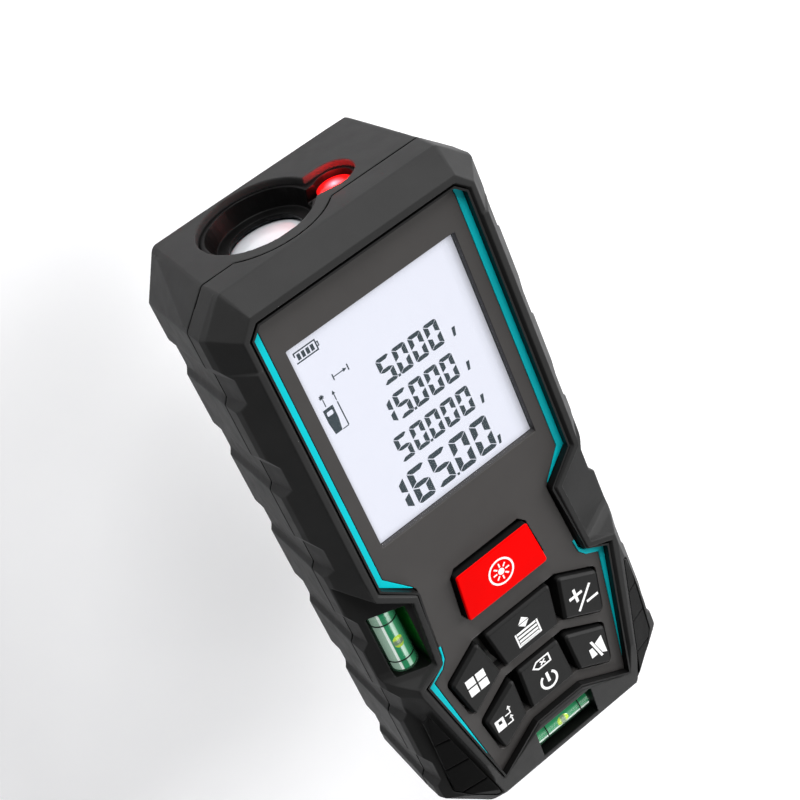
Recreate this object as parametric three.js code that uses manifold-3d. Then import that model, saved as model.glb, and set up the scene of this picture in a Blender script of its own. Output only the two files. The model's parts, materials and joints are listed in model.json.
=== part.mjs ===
// Laser distance meter, a pocket instrument lying on its back with its display up.
// X runs across the display, Y towards the end that sends the beam, Z out of the display. Millimetres.
import * as THREE from 'three';
import { mergeVertices } from 'three/addons/utils/BufferGeometryUtils.js';
import Module from 'manifold-3d';

const wasm = await Module();
wasm.setup();

// ---- Driving dimensions ----

const LENGTH = 112;
const WIDTH = 49;
const RIM_TOP = 28.4;
const HALF_LENGTH = LENGTH / 2;
const HALF_WIDTH = WIDTH / 2;

const PLATE_TOP = 26.9;
const PLATE_THICKNESS = 1.2;
const PLATE_BOTTOM = PLATE_TOP - PLATE_THICKNESS;
const DECK_BOTTOM = 24.3;
const SEAM_Z = 18.8;
const SEAM_GAP = 0.2;
const WALL = 2.0;
const FIT = 0.3;
const RIM_WIDTH = 1.93;
const KNEE_Y = -21.9;

const GROOVE_PITCH = 16.55;
const GROOVE_FIRST_Y = 37.95;
const GROOVE_COUNT = 6;
const GROOVE_SLANT = 0.16;
const GROOVE_FLOOR = 4.3;

const EYE_X = -5.2;
const EYE_Z = 10.8;
const EYE_RADIUS = 9.4;
const LASER_X = 6.9;
const LASER_Z = 13.3;
const LASER_RADIUS = 3.8;
const TONGUE_RADIUS = 11.7;
const LENS_APERTURE = 5.85;

const WINDOW_HALF = 15.35;
const WINDOW_LOW_Y = 5.95;
const WINDOW_HIGH_Y = 44.25;

const KEY_TOP = 27.8;
const KEY_BOTTOM = 23.2;
const KEY_BEVEL = 0.45;
const MEASURE_TOP = 28.1;
const MEASURE_BEVEL = 0.2;
const PAD_TOP = 22.3;

const VIAL_RADIUS = 2.4;
const VIAL_BORE = 1.8;
const VIAL_LENGTH = 11.4;
const SIDE_VIAL = { x: -19.2, y: -12.3, z: 22.9 };
const END_VIAL = { x: 0, y: -48.3, z: 24.2 };

const BOARD_BOTTOM = 17.0;
const BOARD_TOP = 18.2;

const CELL_RADIUS = 5.25;
const CELL_LENGTH = 44.5;
const CELL_X = 5.8;
const CELL_Z = 7.6;
const BAY = { half: 12.5, low: -50, high: -2, roof: 13.2 };
const COVER = { half: 13.2, low: -50.8, high: -1.2, bottom: 0.2, top: 1.6 };
const COVER_TAB = { y: 1.2, radius: 5.7 };

const CASE_SCREWS = [[19.0, 48.8], [-19.0, 48.8], [16.8, -49.2], [-16.8, -49.2]];
const BOARD_SCREWS = [[19.5, 14], [-19.5, 14], [18.6, -36], [-18.6, -36]];

// ---- Materials ----

function material(color, roughness, metalness = 0) {
  return new THREE.MeshStandardMaterial({ color, roughness, metalness });
}

const shellPlastic = material(0x232323, 0.6);
const platePlastic = material(0x2a2928, 0.5);
const keyRubber = material(0x1c1c1c, 0.6);
const redRubber = material(0xf00404, 0.45);
const accentCyan = material(0x10b4c8, 0.4);
const padRubber = material(0x161616, 0.8);
const blackGloss = material(0x0c0c0c, 0.25);
const clear = material(0xe8f0f4, 0.05);
const lensGlass = material(0xf2f5f7, 0.05);
const vialLiquid = material(0x1f9c63, 0.1);
const bubbleAir = material(0xb4e04a, 0.1);
const whitePlastic = material(0xe6e8f4, 0.6);
const greyRubber = material(0x9a9a98, 0.8);
const boardGreen = material(0x1c5c36, 0.5);
const chipBlack = material(0x1a1a1c, 0.4);
const steel = material(0xb8bac0, 0.3, 1);
const brass = material(0xc8a04c, 0.3, 1);
const alloy = material(0x8c9096, 0.45, 1);
const cellWrap = material(0x7c8490, 0.4);

// ---- Geometry helpers ----

function solid(geometry) {
  const bare = geometry.clone();
  bare.deleteAttribute('normal');
  bare.deleteAttribute('uv');
  const merged = mergeVertices(bare, 1e-4);
  return new wasm.Manifold(new wasm.Mesh({
    numProp: 3,
    vertProperties: new Float32Array(merged.attributes.position.array),
    triVerts: new Uint32Array(merged.index.array),
  }));
}

function join(shapes) {
  return shapes.reduce((whole, shape) => whole.add(shape));
}

function cut(shape, cutters) {
  return cutters.reduce((whole, cutter) => whole.subtract(cutter), shape);
}

function box(x0, x1, y0, y1, z0, z1) {
  const geometry = new THREE.BoxGeometry(x1 - x0, y1 - y0, z1 - z0);
  geometry.translate((x0 + x1) / 2, (y0 + y1) / 2, (z0 + z1) / 2);
  return solid(geometry);
}

function prism(points, z0, z1) {
  const shape = new THREE.Shape(points.map(([x, y]) => new THREE.Vector2(x, y)));
  const geometry = new THREE.ExtrudeGeometry(shape, { depth: z1 - z0, bevelEnabled: false });
  geometry.translate(0, 0, z0);
  return solid(geometry);
}

// A prism whose outline lies in the Y-Z plane and which runs from x0 to x1.
function prismX(points, x0, x1) {
  const shape = new THREE.Shape(points.map(([y, z]) => new THREE.Vector2(y, z)));
  const geometry = new THREE.ExtrudeGeometry(shape, { depth: x1 - x0, bevelEnabled: false });
  geometry.rotateX(Math.PI / 2);
  geometry.rotateZ(Math.PI / 2);
  geometry.translate(x0, 0, 0);
  return solid(geometry);
}

// A prism whose outline lies in the X-Z plane and which runs from y0 to y1.
function prismY(points, y0, y1) {
  const shape = new THREE.Shape(points.map(([x, z]) => new THREE.Vector2(x, z)));
  const geometry = new THREE.ExtrudeGeometry(shape, { depth: y1 - y0, bevelEnabled: false });
  geometry.rotateX(Math.PI / 2);
  geometry.translate(0, y1, 0);
  return solid(geometry);
}

function turned(profile, segments = 32) {
  return new THREE.LatheGeometry(profile.map(([r, h]) => new THREE.Vector2(r, h)), segments);
}

// A turned solid about an axis along Y through (x, z); the profile's heights are Y positions.
function turnedY(profile, x, z, segments) {
  const geometry = turned(profile, segments);
  geometry.translate(x, 0, z);
  return solid(geometry);
}

// A turned solid about an axis along Z through (x, y); the profile's heights are Z positions.
function turnedZ(profile, x, y, segments) {
  const geometry = turned(profile, segments);
  geometry.rotateX(Math.PI / 2);
  geometry.translate(x, y, 0);
  return solid(geometry);
}

function rod(radius, low, high) {
  return [[0, low], [radius, low], [radius, high], [0, high]];
}

// A closed solid through layers of equal point count, each { z, points } with points anticlockwise.
function loft(layers) {
  const count = layers[0].points.length;
  const positions = layers.flatMap(({ z, points }) => points.flatMap(([x, y]) => [x, y, z]));
  const indices = [];
  for (let layer = 0; layer + 1 < layers.length; layer += 1) {
    for (let i = 0; i < count; i += 1) {
      const a = layer * count + i;
      const b = layer * count + (i + 1) % count;
      indices.push(a, b, b + count, a, b + count, a + count);
    }
  }
  const flat = (points) => points.map(([x, y]) => new THREE.Vector2(x, y));
  const cap = (points) => THREE.ShapeUtils.triangulateShape(flat(points), []);
  const top = (layers.length - 1) * count;
  cap(layers[0].points).forEach(([a, b, c]) => indices.push(c, b, a));
  cap(layers[layers.length - 1].points).forEach(([a, b, c]) => indices.push(top + a, top + b, top + c));
  const geometry = new THREE.BufferGeometry();
  geometry.setAttribute('position', new THREE.Float32BufferAttribute(positions, 3));
  geometry.setIndex(indices);
  return solid(geometry);
}

// The whole anticlockwise outline from its right half, which is listed from the top down.
function mirrored(half) {
  const left = half.map(([x, ...rest]) => [-x, ...rest]);
  return [...left, ...half.toReversed()];
}

// Each corner [x, y, radius] becomes an arc; a corner with no radius stays sharp.
function rounded(points, steps = 4) {
  return points.flatMap(([x, y, radius], i) => {
    if (!radius) return [[x, y]];
    const corner = new THREE.Vector2(x, y);
    const [beforeX, beforeY] = points.at(i - 1);
    const [afterX, afterY] = points[(i + 1) % points.length];
    const back = new THREE.Vector2(beforeX, beforeY).sub(corner).normalize();
    const ahead = new THREE.Vector2(afterX, afterY).sub(corner).normalize();
    const halfAngle = Math.acos(back.dot(ahead)) / 2;
    const reach = radius / Math.tan(halfAngle);
    const centre = back.clone().add(ahead).normalize().multiplyScalar(radius / Math.sin(halfAngle)).add(corner);
    const first = corner.clone().addScaledVector(back, reach).sub(centre);
    const last = corner.clone().addScaledVector(ahead, reach).sub(centre);
    const sweep = Math.atan2(first.cross(last), first.dot(last));
    return Array.from({ length: steps + 1 }, (_, step) => {
      const point = first.clone().rotateAround(new THREE.Vector2(), sweep * step / steps).add(centre);
      return [point.x, point.y];
    });
  });
}

// The outline moved outwards by a distance, with mitred corners.
function offset(points, distance) {
  const lines = points.map(([x, y], i) => {
    const [nextX, nextY] = points[(i + 1) % points.length];
    const length = Math.hypot(nextX - x, nextY - y);
    const normal = [(nextY - y) / length, -(nextX - x) / length];
    return { normal, reach: normal[0] * x + normal[1] * y + distance };
  });
  return points.map((_, i) => {
    const { normal: n, reach: r } = lines.at(i - 1);
    const { normal: m, reach: s } = lines[i];
    const det = n[0] * m[1] - n[1] * m[0];
    return [(r * m[1] - s * n[1]) / det, (n[0] * s - m[0] * r) / det];
  });
}

const group = new THREE.Group();

function place(name, shape, surface) {
  let geometry = shape;
  if (shape instanceof wasm.Manifold) {
    const { vertProperties, triVerts } = shape.getMesh();
    geometry = new THREE.BufferGeometry();
    geometry.setAttribute('position', new THREE.Float32BufferAttribute(vertProperties, 3));
    geometry.setIndex(new THREE.Uint32BufferAttribute(triVerts, 1));
  }
  const mesh = new THREE.Mesh(geometry, surface);
  mesh.name = name;
  group.add(mesh);
  return mesh;
}

// ---- Body outline ----

const FOOT_Z = 0.8;
const WAIST_Z = 22.4;
const BEVEL_Z = 23.6;
const bodySections = [
  { z: 0, topHalf: 17.9, topY: 55.4, side: 21.7, shoulderY: 48.3, heel: 21.7, heelY: -50.2,
    endHalf: 17.3, endY: -55.2 },
  { z: FOOT_Z, topHalf: 18.2, topY: HALF_LENGTH, side: 22.65, shoulderY: 48.6, heel: 22.65, heelY: -50.6,
    endHalf: 17.6, endY: -HALF_LENGTH },
  { z: SEAM_Z, topHalf: 19.4, topY: HALF_LENGTH, side: 24.4, shoulderY: 51.1, heel: 24.4, heelY: -47.7,
    endHalf: 17.1, endY: -HALF_LENGTH },
  { z: WAIST_Z, topHalf: 19.3, topY: HALF_LENGTH, side: HALF_WIDTH, shoulderY: 51.0, heel: HALF_WIDTH,
    heelY: -47.6, endHalf: 16.9, endY: -HALF_LENGTH },
  { z: BEVEL_Z, topHalf: 19.2, topY: HALF_LENGTH, side: 24.1, shoulderY: 51.1, heel: 24.1, heelY: -47.5,
    endHalf: 16.6, endY: -55.3 },
  { z: RIM_TOP, topHalf: 18.2, topY: 52.8, side: 20.93, shoulderY: 50.05, heel: 15.1, heelY: -50.2,
    endHalf: 14.5, endY: -51.0 },
];

function bodyLayer(section) {
  return {
    z: section.z,
    points: mirrored([
      [section.topHalf, section.topY],
      [section.side, section.shoulderY],
      [section.side, KNEE_Y],
      [section.heel, section.heelY],
      [section.endHalf, section.endY],
    ]),
  };
}

// The body's section moved inwards; below the rim its side is straight, so the knee is left out.
function cavityLayer(section, inset, z = section.z) {
  const outline = mirrored([
    [section.topHalf, section.topY],
    [section.side, section.shoulderY],
    [section.heel, section.heelY],
    [section.endHalf, section.endY],
  ]);
  return { z, points: offset(outline, -inset) };
}

const bodyForm = loft(bodySections.map(bodyLayer));

// Past the step line the rim and its side bevels sit slightly lower, as a cap over the lens end.
const CAP = { y: 44.8, drop: 0.16, bevelInset: 0.1, rimInset: 0.3 };
const capForm = loft(bodySections.map((section) => {
  const { z, side } = section;
  if (z === RIM_TOP) return bodyLayer({ ...section, z: z - CAP.drop, side: side - CAP.rimInset });
  if (z === BEVEL_Z) return bodyLayer({ ...section, side: side - CAP.bevelInset });
  return bodyLayer(section);
}));
const capZone = box(-40, 40, CAP.y, 80, WAIST_Z, 40);
const capTrim = bodyForm.intersect(capZone).subtract(capForm);

// One slanted grip groove on the +X side, as a cutter; its floor leans with the side wall.
function grooveCutter(firstY) {
  const floors = [[-1, 21.8], [SEAM_Z, 23.64], [RIM_TOP, 22.9]];
  const depth = 2;
  const frontRamp = 4.2;
  const backRamp = 2.5;
  return loft(floors.map(([z, floor]) => {
    const middle = firstY + GROOVE_SLANT * z;
    const low = middle - GROOVE_FLOOR / 2;
    const high = middle + GROOVE_FLOOR / 2;
    return {
      z,
      points: [[floor, high], [floor, low], [floor + depth, low - backRamp], [floor + depth, high + frontRamp]],
    };
  }));
}

const grooves = Array.from({ length: GROOVE_COUNT }, (_, i) => grooveCutter(GROOVE_FIRST_Y - i * GROOVE_PITCH))
  .flatMap((cutter) => [cutter, cutter.mirror([1, 0, 0])]);

// ---- Faceplate outline and the notches in the rim beside the side vial ----

const plateOutline = rounded(mirrored([
  [17.36, 50.84],
  [19.0, 49.24],
  [19.0, 0.51],
  [13.4, -4.3, 1.2],
  [14.65, -19.64, 1.6],
  [18.98, -21.46],
  [13.98, -47.83],
  [4.99, -42.77],
]));

// The notch's floor slopes from the side wall up to the rim, and curves up at its lower end.
const NOTCH = { high: 3.5, floorLow: -17.2, low: -20.6, sideX: 24.3, sideZ: 22.9, slope: 0.52 };

function notchCutter() {
  const reach = 6;
  const floor = { y: NOTCH.floorLow, z: 0 };
  const scoopSteps = 5;
  const scoop = Array.from({ length: scoopSteps + 1 }, (_, i) => {
    const turn = (Math.PI / 2) * (i / scoopSteps);
    return [floor.y - (floor.y - NOTCH.low) * Math.sin(turn), reach * (1 - Math.cos(turn))];
  });
  const profile = [...scoop, [NOTCH.low, 12], [NOTCH.high, 12], [NOTCH.high, 0]];
  const along = prismX(profile.toReversed(), 0, 16);
  const tilt = Math.atan(NOTCH.slope) * 180 / Math.PI;
  const tilted = along.translate([-14, 0, 0]).rotate([0, tilt, 0]).translate([NOTCH.sideX, 0, NOTCH.sideZ]);
  // The upper wall follows the rim's slanted edge out to the side.
  const upperWall = prism([[10, -30], [30, -30], [30, 8.0], [20.93, -0.4], [15.6, -4.95], [10, -4.95]], 0, 60);
  return tilted.intersect(upperWall).subtract(prism(offset(plateOutline, RIM_WIDTH), 0, 60));
}

const notch = notchCutter();

// A shallow facet falls from a crease across each side bevel into the notch.
const CREASE = {
  top: [20.93, 4.3, RIM_TOP],
  foot: [26.0, -0.66, 20.7],
  fall: [-0.55, -10, -0.36],
  out: [2.4, -0.2, 1.7],
};

function creaseCutter() {
  const moved = (points, by) => points.map((point) => point.map((value, axis) => value + by[axis]));
  const crease = [CREASE.top, CREASE.foot];
  const facet = [...crease, ...moved(crease, CREASE.fall)];
  return wasm.Manifold.hull([...facet, ...moved(facet, CREASE.out)]);
}

const creaseFacet = creaseCutter();

// The bottom block slopes gently from the rim's height down to the end.
const BLOCK_FALL = 2.14;
const blockSlope = prismX([[-43, RIM_TOP], [-43, 34], [-60, 34], [-60, RIM_TOP - BLOCK_FALL]], -30, 30);

const body = cut(bodyForm, [
  ...grooves,
  notch,
  notch.mirror([1, 0, 0]),
  creaseFacet,
  creaseFacet.mirror([1, 0, 0]),
  blockSlope,
  capTrim,
]);

// ---- Openings in the front ----

const measureOpening = mirrored([[6.6, -5.9], [7.8, -7.2], [8.65, -14.6], [7.9, -16.1]]);
const upperOpening = rounded(mirrored([
  [8.7, -20.15], [16.1, -24.4, 1.2], [14.4, -33.9, 1.0], [6.6, -29.3],
]));
const lowerOpening = rounded(mirrored([
  [6.2, -31.05], [13.6, -35.55, 1.2], [12.3, -44.5, 1.0], [5.7, -40.65],
]));
const keyOpenings = [measureOpening, upperOpening, lowerOpening];
const windowOutline = mirrored([[WINDOW_HALF, WINDOW_HIGH_Y], [WINDOW_HALF, WINDOW_LOW_Y]]);

const sideVialPocket = { x0: -22.1, x1: -16.5, y0: -18.4, y1: -5.6, bottom: 19.9 };
const endVialPocket = { x0: -6.1, x1: 6.1, y0: -51.0, y1: -44.7, bottom: 21.2 };

function pocket({ x0, x1, y0, y1, bottom }, grow = 0) {
  return box(x0 - grow, x1 + grow, y0 - grow, y1 + grow, bottom - grow, 30);
}

// The wedge pad lies in a shallow pocket in the bevel beside the tapering rim.
const padOutline = [
  [21.2, -26.9], [22.2, -28.4], [22.2, -46.5], [16.2, -52.4], [15.7, -51.6],
].toReversed();
const PAD_DEPTH = 1.0;

// ---- Front shell ----

const KEYHOLE_BACK = 51;
const keyhole = join([
  turnedY(rod(EYE_RADIUS, KEYHOLE_BACK, 57), EYE_X, EYE_Z, 48),
  turnedY(rod(LASER_RADIUS, KEYHOLE_BACK, 57), LASER_X, LASER_Z, 32),
  prismY([[-2, 9.3], [LASER_X, LASER_Z - LASER_RADIUS], [LASER_X, LASER_Z + LASER_RADIUS], [-2, 15.3]],
    KEYHOLE_BACK, 57),
]);

const seamSection = bodySections.find(({ z }) => z === SEAM_Z);
const footSection = bodySections.find(({ z }) => z === FOOT_Z);
const seamTop = SEAM_Z + SEAM_GAP / 2;
const seamBottom = SEAM_Z - SEAM_GAP / 2;
const aboveSeam = box(-40, 40, -80, 80, seamTop, 40);
const belowSeam = box(-40, 40, -80, 80, -1, seamBottom);
const tongueArch = turnedY(rod(TONGUE_RADIUS + SEAM_GAP, 52.4, 58), EYE_X, EYE_Z, 56);

const DECK_INSET = 3.4;
const frontCavity = loft([
  cavityLayer(seamSection, WALL, SEAM_Z - 1),
  cavityLayer(seamSection, DECK_INSET, DECK_BOTTOM),
]);
const vialWall = 1.3;
const frontFill = join([
  box(-21.6, -14.9, -20.6, -3.4, 20.4, DECK_BOTTOM + 0.1),
  box(14.9, 21.6, -20.6, -3.4, 20.4, DECK_BOTTOM + 0.1),
  ...CASE_SCREWS.map(([x, y]) => turnedZ(rod(2.1, seamTop, DECK_BOTTOM + 0.1), x, y, 16)),
  ...BOARD_SCREWS.map(([x, y]) => turnedZ(rod(1.8, BOARD_TOP + 0.1, DECK_BOTTOM + 0.1), x, y, 16)),
  pocket(endVialPocket, vialWall).intersect(box(-20, 20, -60, 0, 10, DECK_BOTTOM + 0.1)),
]);

// A narrow moat runs round the plate, and the rim's inner edge is chamfered above it.
const MOAT = 0.4;
const RIM_CHAMFER = { z: 27.5, reach: 1.0 };
const plateRecess = loft([
  { z: PLATE_BOTTOM, points: offset(plateOutline, MOAT) },
  { z: RIM_CHAMFER.z, points: offset(plateOutline, MOAT) },
  { z: RIM_TOP + 0.1, points: offset(plateOutline, RIM_CHAMFER.reach) },
  { z: 32, points: offset(plateOutline, RIM_CHAMFER.reach) },
]);

const frontSkin = body.intersect(aboveSeam).subtract(tongueArch);
const frontHollow = frontCavity.subtract(frontFill);
const padPocket = prism(offset(padOutline, 0.25), 10, 40).subtract(bodyForm.translate([0, 0, -PAD_DEPTH]));
const boardBossFoot = rod(1.8, BOARD_TOP + 0.1, seamTop + 1);
const boardBosses = join(BOARD_SCREWS.map(([x, y]) => turnedZ(boardBossFoot, x, y, 16)));

const frontShell = cut(frontSkin.subtract(frontHollow).add(boardBosses), [
  plateRecess,
  prism(windowOutline, 20, 30),
  ...keyOpenings.map((opening) => prism(opening, 20, 30)),
  pocket(sideVialPocket, 0),
  pocket(endVialPocket, 0),
  padPocket,
  padPocket.mirror([1, 0, 0]),
  ...CASE_SCREWS.map(([x, y]) => turnedZ(rod(1.05, 10, 23.2), x, y, 10)),
  ...BOARD_SCREWS.map(([x, y]) => turnedZ(rod(0.95, 10, 22.8), x, y, 10)),
]);
place('front_shell', frontShell, shellPlastic);

// ---- Rear shell with the battery bay ----

const rearForm = body.intersect(belowSeam);
const tongue = body.intersect(turnedY(rod(TONGUE_RADIUS, 54.1, 57), EYE_X, EYE_Z, 56))
  .intersect(box(-40, 40, 50, 60, seamBottom - 1, 40));
const BACK_WALL = 1.8;
const BAY_WALL = 1.4;
const rearCavity = loft([
  cavityLayer(footSection, WALL, BACK_WALL),
  cavityLayer(seamSection, WALL, SEAM_Z + 1),
]);
const bayBlock = box(-BAY.half - BAY_WALL, BAY.half + BAY_WALL, BAY.low - BAY_WALL, BAY.high + BAY_WALL, 1,
  BAY.roof + BAY_WALL);
const rearBosses = CASE_SCREWS.map(([x, y]) => turnedZ(rod(2.5, 1, seamBottom), x, y, 16));
const SHOULDER_Z = 10;
const SEAT_TOP = COVER.top + 0.2;
const coverSeat = box(-COVER.half - FIT, COVER.half + FIT, COVER.low - FIT, COVER.high + FIT, -1, SEAT_TOP);
const tabSeat = turnedZ(rod(COVER_TAB.radius + FIT, -1, SEAT_TOP), 0, COVER_TAB.y, 24);
const tabBacking = box(-7.5, 7.5, BAY.high, COVER.high + 10, 1, 3.2);

const rearShell = cut(rearForm.add(tongue).subtract(cut(rearCavity, [bayBlock, tabBacking, ...rearBosses])), [
  keyhole,
  box(-BAY.half, BAY.half, BAY.low, BAY.high, -1, BAY.roof),
  coverSeat,
  tabSeat,
  ...CASE_SCREWS.flatMap(([x, y]) => [
    turnedZ(rod(1.95, -1, SHOULDER_Z), x, y, 16),
    turnedZ(rod(1.1, 5, 20), x, y, 10),
  ]),
]);
place('rear_shell', rearShell, shellPlastic);

// ---- Faceplate, accent strips and window ----

const accentRegions = {
  upper: [[17.36, 52], [21, 52], [21, -6], [13.8, -6], [13.9, -3.75], [17.75, 1.1], [17.75, 49.3]],
  lower: [[14.0, -17.0], [21, -17.0], [21, -49], [13.95, -49], [17.7, -22.4], [15.4, -21.15], [14.35, -19.7]],
};
const accentGap = 0.06;
const plateSolid = prism(plateOutline, PLATE_BOTTOM, PLATE_TOP);

const accentPrisms = Object.entries(accentRegions).flatMap(([level, region]) => {
  const right = prism(region.toReversed(), PLATE_BOTTOM - 1, PLATE_TOP + 1);
  return [[`accent_${level}_right`, right], [`accent_${level}_left`, right.mirror([1, 0, 0])]];
});

const faceplate = cut(plateSolid, [
  prism(windowOutline, 20, 30),
  ...keyOpenings.map((opening) => prism(opening, 20, 30)),
  ...accentPrisms.map(([name, region]) => {
    const inwards = name.endsWith('left') ? accentGap : -accentGap;
    return region.translate([inwards, 0, 0]);
  }),
]);
place('faceplate', faceplate, platePlastic);
accentPrisms.forEach(([name, region]) => place(name, plateSolid.intersect(region), accentCyan));

const windowFit = 0.15;
place('display_window', box(-WINDOW_HALF + windowFit, WINDOW_HALF - windowFit, WINDOW_LOW_Y + windowFit,
  WINDOW_HIGH_Y - windowFit, 26.15, PLATE_TOP - 0.12), clear);

// ---- Wedge grip pads on the lower bevels ----

const padSurface = bodyForm.translate([0, 0, -0.12]).subtract(bodyForm.translate([0, 0, -PAD_DEPTH + 0.15]));
const padGroove = 0.35;
const padGrooveDepth = 0.4;
const padDividers = [[-32.6, -1.5], [-38.6, -2.4], [-45.2, -3.0]].map(([y, drop]) => {
  const points = [[16, y], [23, y + drop], [23, y + drop - padGroove], [16, y - padGroove]];
  return prism(points.toReversed(), 0, 40).intersect(bodyForm.subtract(
    bodyForm.translate([0, 0, -0.12 - padGrooveDepth])));
});
const wedgePad = cut(padSurface.intersect(prism(padOutline, 10, 40)), padDividers);
place('wedge_pad_right', wedgePad, padRubber);
place('wedge_pad_left', wedgePad.mirror([1, 0, 0]), padRubber);

// ---- Keys ----

// A key cap with straight walls and a bevelled top edge.
function keyCap(outline, top, bevel) {
  return loft([
    { z: KEY_BOTTOM, points: outline },
    { z: top - bevel, points: outline },
    { z: top, points: offset(outline, -bevel) },
  ]);
}

const keyOutlines = {
  key_measure: mirrored([[7.35, -6.8, 0.5], [8.3, -15.8, 0.6]]),
  key_list: mirrored([[6.9, -20.55, 0.6], [5.7, -28.9, 0.6]]),
  key_power: mirrored([[4.35, -31.45, 0.6], [4.75, -40.25, 0.6]]),
};
const upperSideKey = [[8.55, -20.65, 0.6], [6.95, -29.0, 0.6], [14.15, -33.2, 0.8], [15.65, -24.75, 0.8]];
const lowerSideKey = [[5.6, -31.8, 0.6], [5.85, -40.2, 0.6], [12.05, -43.75, 0.8], [13.15, -35.85, 0.8]];
const flipped = (points) => points.map(([x, ...rest]) => [-x, ...rest]).toReversed();
Object.assign(keyOutlines, {
  key_plus_minus: upperSideKey,
  key_modes: flipped(upperSideKey),
  key_mute: lowerSideKey,
  key_unit: flipped(lowerSideKey),
});

Object.entries(keyOutlines).forEach(([name, corners]) => {
  const isMeasure = name === 'key_measure';
  const top = isMeasure ? MEASURE_TOP : KEY_TOP;
  place(name, keyCap(rounded(corners), top, isMeasure ? MEASURE_BEVEL : KEY_BEVEL),
    isMeasure ? redRubber : keyRubber);
});

// ---- Keypad mat, domes and main board ----

const matOutline = mirrored([[12.6, -5.2], [12.6, -19.4], [15.9, -22.0], [16.2, -33], [13.6, -44.2],
  [9, -44.2], [8.2, -42.4]]);
const keyCentres = Object.values(keyOutlines).map((corners) => [
  corners.reduce((sum, [x]) => sum + x, 0) / corners.length,
  corners.reduce((sum, [, y]) => sum + y, 0) / corners.length,
]);
const MAT_BOTTOM = 20.9;
const MAT_TOP = 21.6;
place('keypad_mat', join([
  prism(matOutline, MAT_BOTTOM, MAT_TOP),
  ...Object.values(keyOutlines).map((corners) => prism(offset(corners, -0.7), MAT_TOP - 0.1, PAD_TOP)),
  ...keyCentres.map(([x, y]) => turnedZ(rod(1.4, 19.2, MAT_BOTTOM + 0.1), x, y, 10)),
]), greyRubber);

const domeProfile = [[0, BOARD_TOP + 0.1], [2.6, BOARD_TOP + 0.1], [2.6, BOARD_TOP + 0.25], [1.6, 18.8],
  [0, 18.9]];
place('dome_sheet', join([
  prism(mirrored([[12.2, -5.6], [15.6, -33], [12.8, -43.2]]), BOARD_TOP + 0.05, BOARD_TOP + 0.2),
  ...keyCentres.map(([x, y]) => turnedZ(domeProfile, x, y, 12)),
]), steel);

const boardOutline = mirrored([[21.2, 21.5], [21.2, -38], [13.6, -46], [13.6, -51]]);
place('main_board', cut(prism(boardOutline, BOARD_BOTTOM, BOARD_TOP),
  BOARD_SCREWS.map(([x, y]) => turnedZ(rod(1.1, 10, 20), x, y, 10))), boardGreen);
place('processor', box(-14, -6, 4, 12, BOARD_BOTTOM - 1.1, BOARD_BOTTOM - 0.05), chipBlack);
place('buzzer', turnedZ([[0, 12], [1, 12], [1, 11.2], [5, 11.2], [5, 16.9], [0, 16.9]], 12, 9, 20), blackGloss);

// ---- Display stack ----

place('lcd_glass', join([
  box(-WINDOW_HALF + 0.25, WINDOW_HALF - 0.25, 6.2, 44, 23.6, 26.0),
  box(-WINDOW_HALF + 0.25, WINDOW_HALF - 0.25, 3.6, 7, 23.6, 24.15),
]), whitePlastic);
place('lcd_backlight', box(-16, 16, 6.4, 45.4, 20.6, 23.4), clear);
place('lcd_frame', cut(box(-17.2, 17.2, 3.0, 46.6, 19.6, 24.1), [
  box(-16.3, 16.3, 6.1, 45.7, 20.4, 25),
  box(-15.4, 15.4, 3.4, 44.3, 23.5, 25),
  box(-14, 14, 3.6, 5.8, 19, 25),
]), whitePlastic);
place('lcd_connector', box(-13.6, 13.6, 4.0, 5.4, BOARD_TOP + 0.1, 23.5), greyRubber);

// ---- Optics ----

const bezelBack = 53.9;
const bezelFloor = { low: 51.3, high: 52.1 };
const bezelOuter = join([
  turnedY(rod(EYE_RADIUS - 0.2, bezelFloor.low, 55), EYE_X, EYE_Z, 40),
  turnedY(rod(LASER_RADIUS - 0.2, bezelFloor.low, 55), LASER_X, LASER_Z, 24),
  prismY([[-2, 9.6], [LASER_X, 9.7], [LASER_X, 16.9], [-2, 15.0]], bezelFloor.low, 55),
  turnedY(rod(EYE_RADIUS + 1.2, 52.9, bezelBack), EYE_X, EYE_Z, 40).intersect(box(-40, 40, 50, 60, 2.1, 40)),
]);
place('optics_bezel', cut(bezelOuter, [
  turnedY([[0, bezelFloor.high], [7.7, bezelFloor.high], [8.7, 56], [0, 56]], EYE_X, EYE_Z, 40),
  turnedY(rod(LENS_APERTURE, 50, 57), EYE_X, EYE_Z, 32),
  turnedY([[0, bezelFloor.high], [2.8, bezelFloor.high], [3.3, 56], [0, 56]], LASER_X, LASER_Z, 24),
  turnedY(rod(2.2, 50, 57), LASER_X, LASER_Z, 16),
  prismY([[-1, 11.4], [LASER_X, 11.0], [LASER_X, 15.6], [-1, 14.2]], 52.9, 57),
]), blackGloss);

place('receiver_lens', turnedY([[0, 48.3], [6.5, 48.3], [6.5, 50.6], [5.6, 51.05], [4.2, 51.6], [2.2, 52.05],
  [0, 52.2]], EYE_X, EYE_Z, 32), lensGlass);

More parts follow.
